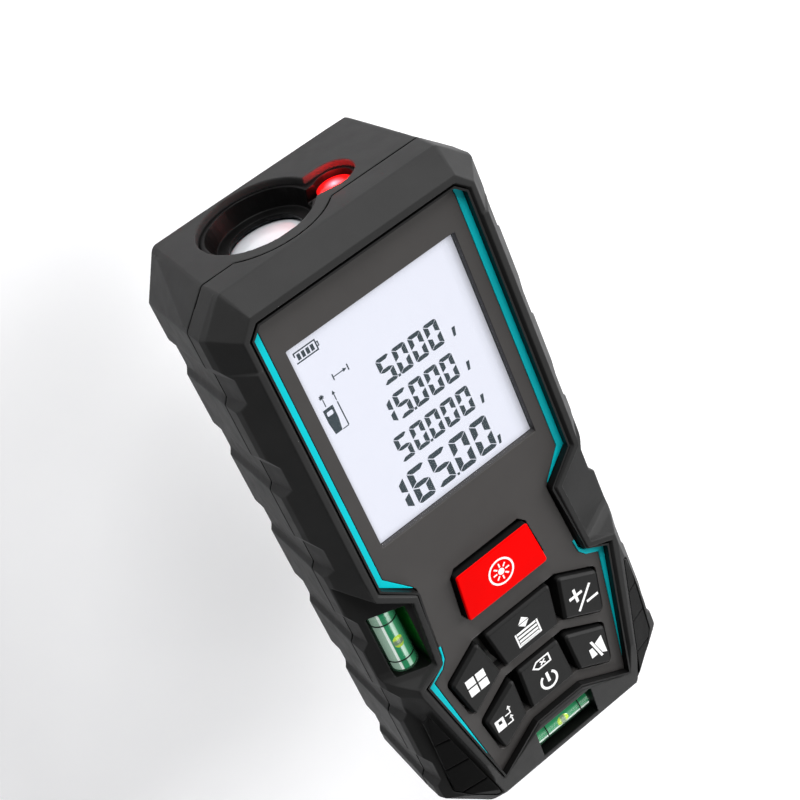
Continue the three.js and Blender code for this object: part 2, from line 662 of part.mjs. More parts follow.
const barrelFit = 0.3;
place('optics_frame', cut(join([
  turnedY(rod(8.2, 38, 51.1), EYE_X, EYE_Z, 32).intersect(box(-40, 40, 30, 60, 2.1, 40)),
  turnedY(rod(4.1, 36, 50.9), LASER_X, LASER_Z, 24),
  box(-11.5, 1.5, 26.4, 38.5, 4.6, 16.4),
  box(-2, 8, 37, 50.9, 10.3, 13.3),
]), [
  turnedY([[0, 26], [2.9, 26], [2.9, 29.5], [2.2, 29.5], [6.0, 48], [6.8, 48], [6.8, 52], [0, 52]],
    EYE_X, EYE_Z, 28),
  turnedY(rod(3.0 + barrelFit, 34, 52), LASER_X, LASER_Z, 20),
]), alloy);
place('laser_barrel', turnedY([[0, 33.5], [3, 33.5], [3, 50.6], [2.3, 50.6], [2.3, 48.2], [1.2, 48.2],
  [1.2, 40], [0, 40]], LASER_X, LASER_Z, 20), brass);
place('laser_lens', turnedY([[0, 48.5], [2.0, 48.5], [2.0, 49.9], [1.2, 50.3], [0, 50.45]],
  LASER_X, LASER_Z, 16), lensGlass);
place('detector_board', box(-12, 2, 24.6, 25.8, 3.6, 16.6), boardGreen);
place('detector_can', turnedY([[0, 26.0], [2.5, 26.0], [2.5, 28.6], [0, 28.6]], EYE_X, EYE_Z, 16), steel);

// ---- Spirit vials ----

const bubbleTrough = { halfWidth: 0.85, halfLength: 4.3, floor: 0.15 };
const vialEnd = VIAL_LENGTH / 2;
const plugLength = 1.4;

// Each vial piece is made about an axis along Y through the origin, with the bubble on top.
const vialShapes = {
  tube: turnedY([[0, -vialEnd], [VIAL_RADIUS, -vialEnd], [VIAL_RADIUS, vialEnd - plugLength],
    [VIAL_BORE, vialEnd - plugLength], [VIAL_BORE, -vialEnd + 1.0], [0, -vialEnd + 1.0]], 0, 0, 20),
  plug: turnedY([[0, vialEnd - plugLength - 0.9], [VIAL_BORE - 0.25, vialEnd - plugLength - 0.9],
    [VIAL_BORE - 0.25, vialEnd - plugLength + 0.15], [VIAL_RADIUS, vialEnd - plugLength + 0.15],
    [VIAL_RADIUS, vialEnd], [0, vialEnd]], 0, 0, 20),
  liquid: turnedY(rod(VIAL_BORE - 0.2, -vialEnd + 1.25, vialEnd - plugLength - 1.15), 0, 0, 16).subtract(
    box(-bubbleTrough.halfWidth, bubbleTrough.halfWidth, -bubbleTrough.halfLength, bubbleTrough.halfLength,
      bubbleTrough.floor, 3)),
  bubble: solid(new THREE.SphereGeometry(0.55, 10, 6).scale(1, 2.1, 1).translate(0, 0, 0.95)),
};
const vialSurfaces = { tube: clear, plug: clear, liquid: vialLiquid, bubble: bubbleAir };

Object.entries(vialShapes).forEach(([piece, shape]) => {
  const { x, y, z } = SIDE_VIAL;
  place(`side_vial_${piece}`, shape.translate([x, y, z]), vialSurfaces[piece]);
});
Object.entries(vialShapes).forEach(([piece, shape]) => {
  const { x, y, z } = END_VIAL;
  place(`end_vial_${piece}`, shape.rotate([0, 0, 90]).translate([x, y, z]), vialSurfaces[piece]);
});

// A holder is a trough under the tube, seated in its pocket in the front shell.
function vialHolder({ x0, x1, y0, y1, bottom }, along, centre) {
  const seat = box(x0 + FIT, x1 - FIT, y0 + FIT, y1 - FIT, bottom + 0.05, centre.z - 0.6);
  const clearance = VIAL_RADIUS + 0.15;
  const bed = turnedY(rod(clearance, -20, 20), 0, 0, 20).rotate([0, 0, along === 'x' ? 90 : 0]);
  return seat.subtract(bed.translate([centre.x, centre.y, centre.z]));
}
place('side_vial_holder', vialHolder(sideVialPocket, 'y', SIDE_VIAL), blackGloss);
place('end_vial_holder', vialHolder(endVialPocket, 'x', END_VIAL), blackGloss);

// ---- Cells, contacts and springs ----

const CELL_NUB = 1.0;
const CELL_SHIFT = 0.9;
const cellY = (BAY.low + BAY.high) / 2;
const contactThickness = 0.4;

function cell(x, direction) {
  const half = CELL_LENGTH / 2;
  const profile = [[0, -half], [CELL_RADIUS, -half], [CELL_RADIUS, half - CELL_NUB], [1.9, half - CELL_NUB],
    [1.9, half], [0, half]];
  const shape = turnedY(profile, 0, 0, 24);
  const facing = direction > 0 ? shape : shape.rotate([0, 0, 180]);
  return facing.translate([x, cellY + direction * CELL_SHIFT, CELL_Z]);
}

// A conical spring against the cell's flat end, as one round wire.
class SpringPath extends THREE.Curve {
  constructor(length) {
    super();
    this.length = length;
  }

  getPoint(t, target = new THREE.Vector3()) {
    const turns = 3;
    const angle = t * turns * Math.PI * 2;
    const radius = 3.4 - 1.6 * t;
    return target.set(radius * Math.cos(angle), t * this.length, radius * Math.sin(angle));
  }
}

function spring(length) {
  const wire = 0.25;
  const sides = 5;
  const section = new THREE.Shape(Array.from({ length: sides }, (_, i) => {
    const angle = i / sides * Math.PI * 2;
    return new THREE.Vector2(wire * Math.cos(angle), wire * Math.sin(angle));
  }));
  return solid(new THREE.ExtrudeGeometry(section, { steps: 30, extrudePath: new SpringPath(length) }));
}

[['left', -CELL_X, 1], ['right', CELL_X, -1]].forEach(([side, x, direction]) => {
  place(`cell_${side}`, cell(x, direction), cellWrap);
  const springLength = 1.6;
  const wound = direction > 0 ? spring(springLength) : spring(springLength).rotate([0, 0, 180]);
  const flatEnd = cellY + direction * (CELL_SHIFT - CELL_LENGTH / 2);
  place(`spring_${side}`, wound.translate([x, flatEnd - direction * (springLength + 0.35), CELL_Z]), steel);
});

const platesTop = CELL_Z + 3.8;
const platesBottom = CELL_Z - 3.8;
place('bridge_contact', box(-CELL_X - 4, CELL_X + 4, BAY.low + 0.05, BAY.low + 0.05 + contactThickness,
  platesBottom, platesTop), steel);
place('contact_left', box(-CELL_X - 4, -CELL_X + 4, BAY.high - 0.05 - contactThickness, BAY.high - 0.05,
  platesBottom, platesTop), steel);
place('contact_right', box(CELL_X - 4, CELL_X + 4, BAY.high - 0.05 - contactThickness, BAY.high - 0.05,
  platesBottom, platesTop), steel);

// ---- Battery cover ----

const ribCount = 4;
const coverRibs = Array.from({ length: ribCount }, (_, i) => {
  const y = COVER.high - 5 - i * 1.8;
  return box(-6, 6, y - 0.4, y + 0.4, -1, COVER.bottom + 0.45);
});
const coverTab = turnedZ(rod(COVER_TAB.radius, COVER.bottom, COVER.top), 0, COVER_TAB.y, 24)
  .intersect(box(-10, 10, COVER.high - 1, COVER.high + 20, -1, 5));
place('battery_cover', cut(join([
  box(-COVER.half, COVER.half, COVER.low, COVER.high, COVER.bottom, COVER.top),
  coverTab,
]), coverRibs), shellPlastic);

// ---- Screws ----

function screw([x, y], headBottom, headHeight, headRadius, shankRadius, tip) {
  const headTop = headBottom + headHeight;
  const socket = headRadius * 0.5;
  const depth = headHeight * 0.5;
  return turnedZ([[0, headBottom + depth], [socket, headBottom + depth], [socket, headBottom],
    [headRadius, headBottom], [headRadius, headTop], [shankRadius, headTop], [shankRadius, tip - 0.6],
    [0, tip]], x, y, 12);
}

CASE_SCREWS.forEach((at, i) => {
  place(`case_screw_${i + 1}`, screw(at, SHOULDER_Z - 1.5, 1.45, 1.7, 0.8, 22.6), steel);
});
BOARD_SCREWS.forEach((at, i) => {
  place(`board_screw_${i + 1}`, screw(at, BOARD_BOTTOM - 1.2, 1.15, 1.5, 0.7, 22.2), steel);
});

export default group;
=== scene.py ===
# A laser distance meter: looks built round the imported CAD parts. Lengths in mm are turned into metres by MM.
import json
import math

import bmesh
import bpy
import numpy
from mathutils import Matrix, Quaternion, Vector


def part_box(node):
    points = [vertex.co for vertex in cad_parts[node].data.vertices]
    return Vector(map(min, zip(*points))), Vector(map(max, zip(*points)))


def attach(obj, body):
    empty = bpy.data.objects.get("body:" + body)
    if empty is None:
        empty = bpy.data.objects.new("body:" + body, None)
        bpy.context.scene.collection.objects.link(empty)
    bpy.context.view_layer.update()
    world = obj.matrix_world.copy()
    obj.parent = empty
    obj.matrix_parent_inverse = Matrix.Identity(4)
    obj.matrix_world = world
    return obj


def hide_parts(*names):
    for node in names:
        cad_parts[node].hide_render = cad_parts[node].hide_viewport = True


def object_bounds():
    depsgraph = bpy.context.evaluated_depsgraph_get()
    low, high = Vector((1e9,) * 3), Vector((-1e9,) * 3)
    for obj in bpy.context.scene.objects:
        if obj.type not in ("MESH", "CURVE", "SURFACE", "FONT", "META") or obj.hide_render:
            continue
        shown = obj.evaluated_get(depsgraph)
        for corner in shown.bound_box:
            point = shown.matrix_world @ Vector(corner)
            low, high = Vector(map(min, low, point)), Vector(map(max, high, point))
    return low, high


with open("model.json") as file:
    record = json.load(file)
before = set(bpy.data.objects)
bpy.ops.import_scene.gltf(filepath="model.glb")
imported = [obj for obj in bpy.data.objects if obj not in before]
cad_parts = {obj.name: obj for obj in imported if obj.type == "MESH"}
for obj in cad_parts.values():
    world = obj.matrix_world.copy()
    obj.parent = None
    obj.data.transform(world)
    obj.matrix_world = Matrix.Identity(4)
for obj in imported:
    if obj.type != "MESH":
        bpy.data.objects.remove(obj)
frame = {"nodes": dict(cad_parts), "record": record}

CAD_LOW, CAD_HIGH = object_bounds()
MM = 0.001
NODES = frame["nodes"]
CENTRE = (CAD_LOW + CAD_HIGH) / 2

# ---- Camera, light and floor ----

# The camera as recovered from the photograph: angles in degrees, lens and sensor width in mm.
CAMERA_AZIMUTH = 207.73
CAMERA_ELEVATION = 50.92
CAMERA_ROLL = -121.24
CAMERA_DISTANCE = 278.0 * MM
CAMERA_AIM = CENTRE + Vector((1.86, 17.02, 0)) * MM
CAMERA_LENS = 80.66
SENSOR_WIDTH = 36
NEAR_CLIP, FAR_CLIP = 0.01, 20

COVER_TRAVEL = 30.0 * MM
FLOOR_GAP = 0.2 * MM
FLOOR_HALF = 3.0
FLOOR_GLOW = 0.14


def direction(azimuth, elevation):
    """The unit vector from the object towards a camera or lamp at those angles in degrees."""
    a, e = math.radians(azimuth), math.radians(elevation)
    return Vector((math.sin(a) * math.cos(e), -math.cos(a) * math.cos(e), math.sin(e)))


def add_camera():
    """The photograph's camera, which looks at a point near the middle of the object."""
    data = bpy.data.cameras.new("photo_camera")
    data.lens = CAMERA_LENS
    data.sensor_width = SENSOR_WIDTH
    data.clip_start = NEAR_CLIP
    data.clip_end = FAR_CLIP
    camera = bpy.data.objects.new("photo_camera", data)
    bpy.context.scene.collection.objects.link(camera)
    back = direction(CAMERA_AZIMUTH, CAMERA_ELEVATION)
    camera.location = CAMERA_AIM + back * CAMERA_DISTANCE
    camera.rotation_mode = "QUATERNION"
    aim = (-back).to_track_quat("-Z", "Y")
    camera.rotation_quaternion = aim @ Quaternion((0, 0, 1), math.radians(-CAMERA_ROLL))
    bpy.context.scene.camera = camera


def add_lamp(name, azimuth, elevation, distance, size, power):
    """A round white lamp aimed at the middle: angles in degrees, lengths in metres, power in watts."""
    data = bpy.data.lights.new(name, "AREA")
    data.shape = "DISK"
    data.size = size
    data.energy = power
    lamp = bpy.data.objects.new(name, data)
    bpy.context.scene.collection.objects.link(lamp)
    towards = direction(azimuth, elevation)
    lamp.location = CENTRE + towards * distance
    lamp.rotation_mode = "QUATERNION"
    lamp.rotation_quaternion = (-towards).to_track_quat("-Z", "Y")


def add_glow(name, place, radius, power, colour):
    """A small round light inside the object, at a place in mm."""
    data = bpy.data.lights.new(name, "POINT")
    data.shadow_soft_size = radius * MM
    data.energy = power
    data.color = colour
    glow = bpy.data.objects.new(name, data)
    bpy.context.scene.collection.objects.link(glow)
    glow.location = Vector(place) * MM


def add_world(colour, strength):
    """An even light from all round."""
    world = bpy.data.worlds.new("studio")
    world.use_nodes = True
    background = world.node_tree.nodes["Background"]
    background.inputs["Color"].default_value = (*colour, 1)
    background.inputs["Strength"].default_value = strength
    bpy.context.scene.world = world


def add_floor(material):
    """A wide pale floor, just below where the battery cover comes down to."""
    mesh = bpy.data.meshes.new("floor")
    corners = [(x * FLOOR_HALF, y * FLOOR_HALF, 0) for x, y in ((-1, -1), (1, -1), (1, 1), (-1, 1))]
    mesh.from_pydata(corners, [], [(0, 1, 2, 3)])
    mesh.materials.append(material)
    shader = material.node_tree.nodes["Principled BSDF"]
    shader.inputs["Emission Color"].default_value = (1.0, 1.0, 1.0, 1.0)
    shader.inputs["Emission Strength"].default_value = FLOOR_GLOW
    floor = bpy.data.objects.new("floor", mesh)
    floor.location.z = CAD_LOW.z - COVER_TRAVEL - FLOOR_GAP
    bpy.context.scene.collection.objects.link(floor)


# ---- Materials ----

def srgb(red, green, blue):
    """A colour given as the eye reads it, 0 to 255, as linear light."""
    def linear(value):
        share = value / 255
        return share / 12.92 if share <= 0.04045 else ((share + 0.055) / 1.055) ** 2.4
    return (linear(red), linear(green), linear(blue), 1.0)


def shade(colour, factor):
    """A colour made lighter or darker by a factor."""
    return tuple(min(1.0, c * factor) for c in colour[:3]) + (1.0,)


NOISE_LOW, NOISE_HIGH = 0.3, 0.7


class Surface:
    """A material being built, with its shader and the object's own coordinates at hand."""

    def __init__(self, name):
        self.material = bpy.data.materials.new(name)
        self.material.use_nodes = True
        self.tree = self.material.node_tree
        self.shader = self.tree.nodes["Principled BSDF"]
        self.place = self.tree.nodes.new("ShaderNodeTexCoord").outputs["Object"]

    def node(self, kind, **inputs):
        made = self.tree.nodes.new(kind)
        for key, value in inputs.items():
            made.inputs[key.replace("_", " ").title()].default_value = value
        return made

    def link(self, output, target):
        self.tree.links.new(output, target)

    def set(self, **inputs):
        for key, value in inputs.items():
            self.shader.inputs[key.replace("_", " ").title().replace("Ior", "IOR")].default_value = value

    def stretched(self, scale):
        mapping = self.tree.nodes.new("ShaderNodeMapping")
        mapping.inputs["Scale"].default_value = scale
        self.link(self.place, mapping.inputs["Vector"])
        return mapping.outputs["Vector"]

    def noise(self, size, detail=3.0, stretch=None):
        """Noise whose features are about size mm across."""
        made = self.node("ShaderNodeTexNoise", scale=1 / (size * MM), detail=detail)
        self.link(self.stretched(stretch) if stretch else self.place, made.inputs["Vector"])
        return made.outputs["Fac"]

    def spread(self, value, low, high):
        """A noise, which lies mostly within NOISE_LOW and NOISE_HIGH, as a number between low and high."""
        return self.rescaled(value, NOISE_LOW, NOISE_HIGH, low, high)

    def rescaled(self, value, start, end, low=0.0, high=1.0):
        """A value from start to end as a number from low to high."""
        made = self.node("ShaderNodeMapRange", from_min=start, from_max=end, to_min=low, to_max=high)
        self.link(value, made.inputs["Value"])
        return made.outputs["Result"]

    def along(self, axis):
        """How far a point lies along the object's own X, Y or Z, in metres."""
        parts = self.tree.nodes.new("ShaderNodeSeparateXYZ")
        self.link(self.place, parts.inputs["Vector"])
        return parts.outputs[axis]

    def ramp(self, value, *stops):
        made = self.tree.nodes.new("ShaderNodeValToRGB")
        elements = made.color_ramp.elements
        while len(elements) < len(stops):
            elements.new(0.5)
        for element, (position, colour) in zip(elements, stops):
            element.position = position
            element.color = colour
        self.link(value, made.inputs["Fac"])
        return made.outputs["Color"]

    def colour(self, output):
        self.link(output, self.shader.inputs["Base Color"])

    def rough(self, output):
        self.link(output, self.shader.inputs["Roughness"])

    def bump(self, height, depth):
        """The surface raised by height times depth mm."""
        made = self.node("ShaderNodeBump", strength=1.0, distance=depth * MM)
        self.link(height, made.inputs["Height"])
        self.link(made.outputs["Normal"], self.shader.inputs["Normal"])


def moulded(name, colour, roughness, grain, depth, variation=0.08, coat=0.0, specular=0.2):
    """Moulded plastic or rubber: grain of that size and depth in mm, and slight drifts in colour and gloss."""
    s = Surface(name)
    cloud = s.noise(9.0, 4.0)
    tone = s.ramp(cloud, (NOISE_LOW, shade(colour, 1 - variation)), (NOISE_HIGH, shade(colour, 1 + variation)))
    s.colour(tone)
    s.rough(s.spread(s.noise(2.5, 5.0), roughness - 0.04, roughness + 0.04))
    s.bump(s.noise(grain, 2.0), depth)
    s.set(coat_weight=coat, coat_roughness=0.3, specular_ior_level=specular)
    return s.material


def worked(s, operation, first, second, third=None):
    """The result of a mathematical operation on sockets or numbers."""
    made = s.tree.nodes.new("ShaderNodeMath")
    made.operation = operation
    for socket, value in zip(made.inputs, (first, second, third)):
        if value is None:
            continue
        if isinstance(value, (int, float)):
            socket.default_value = value
        else:
            s.link(value, socket)
    return made.outputs["Value"]


def inside(s, low, high):
    """1 within a box given by its corners in mm, 0 outside it."""
    share = 1.0
    for axis, start, end in zip("XYZ", low, high):
        test = worked(s, "COMPARE", s.along(axis), (start + end) / 2 * MM, (end - start) / 2 * MM)
        share = worked(s, "MULTIPLY", share, test)
    return share


def mixed(s, share, first, second):
    """The first colour where share is 0, the second where it is 1. Each is a socket or a fixed colour."""
    mix = s.tree.nodes.new("ShaderNodeMix")
    mix.data_type = "RGBA"
    s.link(share, mix.inputs["Factor"])
    for socket, colour in ((mix.inputs[6], first), (mix.inputs[7], second)):
        if isinstance(colour, tuple):
            socket.default_value = colour
        else:
            s.link(colour, socket)
    return mix.outputs[2]


# Boxes given by two corners in mm: the vials' pockets, which get painted shade, and the pocket wall that the
# side vial lights green with painted light.
SIDE_POCKET = ((-22.1, -18.45, 19.9), (-16.42, -5.55, 27.0))
END_POCKET = ((-6.15, -51.05, 21.2), (6.15, -44.65, 27.5))
LIT_WALL = ((-16.75, -18.45, 19.9), (-16.42, -5.55, 27.0))

# The seam between the shells, in mm: its height and half its width, then the arch over the receiver, which is
# part of a circle about RECEIVER_AXIS, in the shells' surface beyond ARCH_BACK.
SEAM_Z = 18.8
SEAM_HALF = 0.18
RECEIVER_AXIS = (-5.2, 0.0, 10.8)
ARCH_RADIUS = 11.8
ARCH_BACK = 52.0


def seam_shade_share(s):
    """1 in the parting groove, which gets painted shade; it runs level round the case and arches over the
    receiver at the lens end.
    """
    radial = s.tree.nodes.new("ShaderNodeVectorMath")
    radial.operation = "DISTANCE"
    s.link(s.stretched((1, 0, 1)), radial.inputs[0])
    radial.inputs[1].default_value = Vector(RECEIVER_AXIS) * MM
    reach = radial.outputs["Value"]
    level = worked(s, "COMPARE", s.along("Z"), SEAM_Z * MM, SEAM_HALF * MM)
    behind = worked(s, "LESS_THAN", s.along("Y"), ARCH_BACK * MM)
    beyond = worked(s, "GREATER_THAN", reach, ARCH_RADIUS * MM)
    level = worked(s, "MULTIPLY", level, worked(s, "MAXIMUM", behind, beyond))
    arch = worked(s, "COMPARE", reach, ARCH_RADIUS * MM, SEAM_HALF * MM)
    above = worked(s, "GREATER_THAN", s.along("Z"), SEAM_Z * MM)
    arch = worked(s, "MULTIPLY", worked(s, "MULTIPLY", arch, above), worked(s, "SUBTRACT", 1.0, behind))
    return worked(s, "MAXIMUM", level, arch)


def shell_plastic(name, colour):
    """The case's grained plastic, with painted shade that makes it near-black in the seam and the vial pockets,
    and painted light that makes it green where a vial lights the wall.
    """
    s = Surface(name)
    tone = s.ramp(s.noise(9.0, 4.0), (NOISE_LOW, shade(colour, 0.93)), (NOISE_HIGH, shade(colour, 1.07)))
    # Painted shade: the parting groove is coloured near-black where its shadow falls.
    tone = mixed(s, seam_shade_share(s), tone, srgb(6, 6, 6))
    # Painted shade: the vial pockets are coloured near-black for the shade inside these recesses.
    for box in (SIDE_POCKET, END_POCKET):
        tone = mixed(s, inside(s, *box), tone, srgb(9, 11, 9))
    along = s.rescaled(s.along("Y"), SIDE_POCKET[0][1] * MM, SIDE_POCKET[1][1] * MM)
    green = s.ramp(along, (0.1, srgb(4, 14, 4)), (0.4, srgb(8, 84, 14)),
                   (0.7, srgb(4, 100, 8)), (1.0, srgb(6, 64, 10)))
    s.colour(mixed(s, inside(s, *LIT_WALL), tone, green))
    s.rough(s.spread(s.noise(2.5, 5.0), 0.46, 0.54))
    s.bump(s.noise(0.22, 2.0), 0.012)
    s.set(specular_ior_level=0.07)
    return s.material


def metal(name, colour, roughness, stretch=(1, 1, 1), scratch=0.4, depth=0.004):
    """Bare metal with fine lines left by its working."""
    s = Surface(name)
    lines = s.noise(scratch, 4.0, stretch)
    s.colour(s.ramp(lines, (NOISE_LOW, shade(colour, 0.86)), (NOISE_HIGH, shade(colour, 1.08))))
    s.rough(s.spread(lines, roughness - 0.08, roughness + 0.08))
    s.bump(lines, depth)
    s.set(metallic=1.0)
    return s.material


def see_through(name, tint, alpha, roughness=0.05, specular=0.5):
    """A clear solid: what is behind shows through, and its surface adds a little tint and gloss."""
    s = Surface(name)
    haze = s.noise(6.0, 3.0)
    s.colour(s.ramp(haze, (NOISE_LOW, shade(tint, 0.9)), (NOISE_HIGH, tint)))
    s.rough(s.spread(haze, roughness, roughness + 0.03))
    s.set(alpha=alpha, specular_ior_level=specular)
    return s.material


def circuit_board(name):
    """Green solder mask over copper tracks that show as paler, raised lines."""
    s = Surface(name)
    tracks = s.node("ShaderNodeTexBrick", scale=1.0)
    tracks.inputs["Brick Width"].default_value = 2.6 * MM
    tracks.inputs["Row Height"].default_value = 0.9 * MM
    tracks.inputs["Mortar Size"].default_value = 0.14 * MM
    tracks.inputs["Color1"].default_value = srgb(20, 84, 46)
    tracks.inputs["Color2"].default_value = srgb(24, 94, 52)
    tracks.inputs["Mortar"].default_value = srgb(58, 132, 84)
    s.link(s.place, tracks.inputs["Vector"])
    s.colour(tracks.outputs["Color"])
    s.bump(tracks.outputs["Fac"], 0.03)
    s.set(roughness=0.35, coat_weight=0.4)
    return s.material


def printed_cell(name):
    """A cell's printed sleeve, dark with a pale band at its raised end, over a bright can."""
    s = Surface(name)
    gold, dark = srgb(196, 152, 58), srgb(30, 32, 36)
    bands = s.ramp(across_node(s, "cell_left", "Y"), (0.0, gold), (0.22, dark), (0.78, dark), (1.0, gold))
    s.tree.nodes[-1].color_ramp.interpolation = "CONSTANT"
    s.colour(bands)
    s.rough(s.spread(s.noise(1.2, 3.0), 0.22, 0.34))
    s.bump(s.noise(3.0, 2.0), 0.02)
    s.set(metallic=0.35)
    return s.material


def backlit(name, colour, glow):
    """The display's pale cell, lit from behind, and dimmer where its surround shades it."""
    s = Surface(name)
    weave = s.noise(0.3, 1.0, (1, 6, 1))
    s.rough(s.spread(weave, 0.25, 0.35))
    low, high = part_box("lcd_glass")
    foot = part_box("display_window")[0].y
    fades = (
        ("X", high.x, high.x - 2.4 * MM, 0.42), ("X", low.x, low.x + 0.6 * MM, 0.75),
        ("Y", high.y, high.y - 1.3 * MM, 0.6), ("Y", foot, foot + 1.2 * MM, 0.75),
    )
    tone = s.ramp(weave, (NOISE_LOW, shade(colour, 0.985)), (NOISE_HIGH, colour))
    for axis, edge, clear, darkest in fades:
        levels = ((0.0, darkest), (0.5, 0.88), (1.0, 1.0))
        fade = s.ramp(s.rescaled(s.along(axis), edge, clear), *((at, (v, v, v, 1.0)) for at, v in levels))
        mix = s.tree.nodes.new("ShaderNodeMix")
        mix.data_type = "RGBA"
        mix.blend_type = "MULTIPLY"
        mix.inputs["Factor"].default_value = 1.0
        s.link(tone, mix.inputs[6])
        s.link(fade, mix.inputs[7])
        tone = mix.outputs[2]
    s.link(tone, s.shader.inputs["Emission Color"])
    s.set(emission_strength=glow, base_color=(0.1, 0.1, 0.1, 1.0))
    return s.material


def across_node(s, node, axis):
    """How far across the node a point lies along an axis, 0 to 1."""
    low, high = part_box(node)
    index = "XYZ".index(axis)
    return s.rescaled(s.along(axis), low[index], high[index])


def liquid(name, node, axis, tint_and_highlights):
    """Tinted spirit in a vial, with painted highlights as the pale streaks that its round tube would gather, and
    a painted glow.
    """
    s = Surface(name)
    tone = s.ramp(across_node(s, node, axis), *tint_and_highlights)
    s.colour(tone)
    s.rough(s.spread(s.noise(2.0, 2.0), 0.05, 0.12))
    # Painted light: the spirit glows with its tint and its painted highlights, though nothing lights it.
    s.link(tone, s.shader.inputs["Emission Color"])
    s.set(coat_weight=0.3, emission_strength=0.6)
    return s.material


def air_bubble(name, node, axis):
    """The bubble, with painted highlights that make it bright yellow-green at its ends, grey in the middle, and
    a painted glow.
    """
    s = Surface(name)
    end, middle = srgb(196, 226, 62), srgb(120, 138, 112)
    stops = ((0.0, end), (0.22, end), (0.36, middle), (0.64, middle), (0.78, end), (1.0, end))
    tone = s.ramp(across_node(s, node, axis), *stops)
    s.colour(tone)
    s.rough(s.spread(s.noise(1.0, 2.0), 0.05, 0.12))
    # Painted light: the bubble glows with its painted colours.
    s.link(tone, s.shader.inputs["Emission Color"])
    s.set(coat_weight=1.0, emission_strength=0.45)
    return s.material


def glowing_lens(name):
    """The emitting lens, lit red from inside and palest at its middle."""
    s = Surface(name)
    low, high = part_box("laser_lens")
    distance = s.tree.nodes.new("ShaderNodeVectorMath")
    distance.operation = "DISTANCE"
    distance.inputs[1].default_value = ((low.x + high.x) / 2, 54.5 * MM, (low.z + high.z) / 2)
    s.link(s.place, distance.inputs[0])
    tone = s.ramp(s.rescaled(distance.outputs["Value"], 0.0, 4.0 * MM),
                  (0.0, (1.0, 0.13, 0.16, 1.0)), (0.25, (1.0, 0.03, 0.04, 1.0)),
                  (0.42, (0.6, 0.004, 0.004, 1.0)), (0.7, (0.16, 0.002, 0.002, 1.0)))
    s.colour(tone)
    s.rough(s.spread(s.noise(0.6, 2.0), 0.05, 0.15))
    s.link(tone, s.shader.inputs["Emission Color"])
    s.set(emission_strength=2.4, specular_ior_level=0.2)
    return s.material


# The spirit's tint and the painted highlights across each vial's liquid, as colours at shares of its width.
SIDE_SPIRIT_AND_HIGHLIGHTS = [
    (0.045, srgb(150, 176, 160)), (0.06, srgb(228, 236, 232)), (0.14, srgb(228, 236, 232)),
    (0.18, srgb(31, 127, 85)), (0.43, srgb(31, 127, 85)), (0.48, srgb(186, 218, 200)),
    (0.63, srgb(186, 218, 200)), (0.7, srgb(58, 146, 100)), (1.0, srgb(20, 90, 56)),
]
END_SPIRIT_AND_HIGHLIGHTS = [
    (0.06, srgb(10, 40, 24)), (0.12, srgb(228, 238, 232)), (0.3, srgb(228, 238, 232)),
    (0.36, srgb(44, 128, 84)), (0.7, srgb(30, 124, 78)), (1.0, srgb(18, 96, 58)),
]


def make_materials():
    """One material for each of the record's slots."""
    return {
        "shell": shell_plastic("shell_grain", srgb(43, 43, 43)),
        "plate": moulded("plate_satin", srgb(59, 57, 56), 0.42, 0.16, 0.006, variation=0.05),
        "accent": moulded("accent_cyan", srgb(5, 190, 200), 0.42, 0.2, 0.003, variation=0.05, specular=0.06),
        "window": see_through("window_clear", srgb(120, 122, 128), alpha=0.05),
        "grip": moulded("grip_rubber", srgb(9, 9, 9), 0.66, 0.18, 0.018, specular=0.1),
        "red_key": moulded("key_red", srgb(228, 0, 0), 0.5, 0.2, 0.004, variation=0.05, specular=0.02),
        "key": moulded("key_black", srgb(31, 31, 31), 0.5, 0.2, 0.008, specular=0.1),
        "mat": moulded("mat_silicone", srgb(150, 150, 148), 0.6, 0.3, 0.01),
        "steel": metal("steel_plated", srgb(196, 198, 204), 0.28, stretch=(1, 1, 5)),
        "board": circuit_board("board_green"),
        "chip": moulded("chip_epoxy", srgb(28, 28, 30), 0.5, 0.12, 0.008),
        "gloss_black": moulded("gloss_black", srgb(5, 5, 5), 0.42, 0.6, 0.001, variation=0.1, specular=0.08),
        "lcd": backlit("lcd_cell", srgb(237, 240, 255), glow=0.88),
        "light_guide": see_through("light_guide", srgb(226, 230, 240), alpha=0.5, roughness=0.2),
        "white_frame": moulded("frame_white", srgb(236, 238, 242), 0.5, 0.4, 0.004, variation=0.03),
        "lens": moulded("lens_coated", srgb(186, 188, 192), 0.12, 1.5, 0.001, variation=0.06, coat=1.0),
        "optics_alloy": metal("alloy_cast", srgb(140, 144, 150), 0.45, scratch=0.5, depth=0.02),
        "brass": metal("brass_turned", srgb(206, 168, 86), 0.28, stretch=(1, 8, 1)),
        "cell": printed_cell("cell_sleeve"),
        "vial_clear": see_through("vial_clear", srgb(120, 190, 150), alpha=0.14, roughness=0.06, specular=1.0),
        "vial_liquid": liquid("side_vial_spirit", "side_vial_liquid", "X", SIDE_SPIRIT_AND_HIGHLIGHTS),
        "bubble": air_bubble("side_vial_air", "side_vial_bubble", "Y"),
    }


MATERIALS = make_materials()
# Nodes that don't look like the rest of their slot.
OWN_LOOK = {
    "laser_lens": glowing_lens("laser_lens_lit"),
    "end_vial_liquid": liquid("end_vial_spirit", "end_vial_liquid", "Y", END_SPIRIT_AND_HIGHLIGHTS),
    "end_vial_bubble": air_bubble("end_vial_air", "end_vial_bubble", "X"),
}
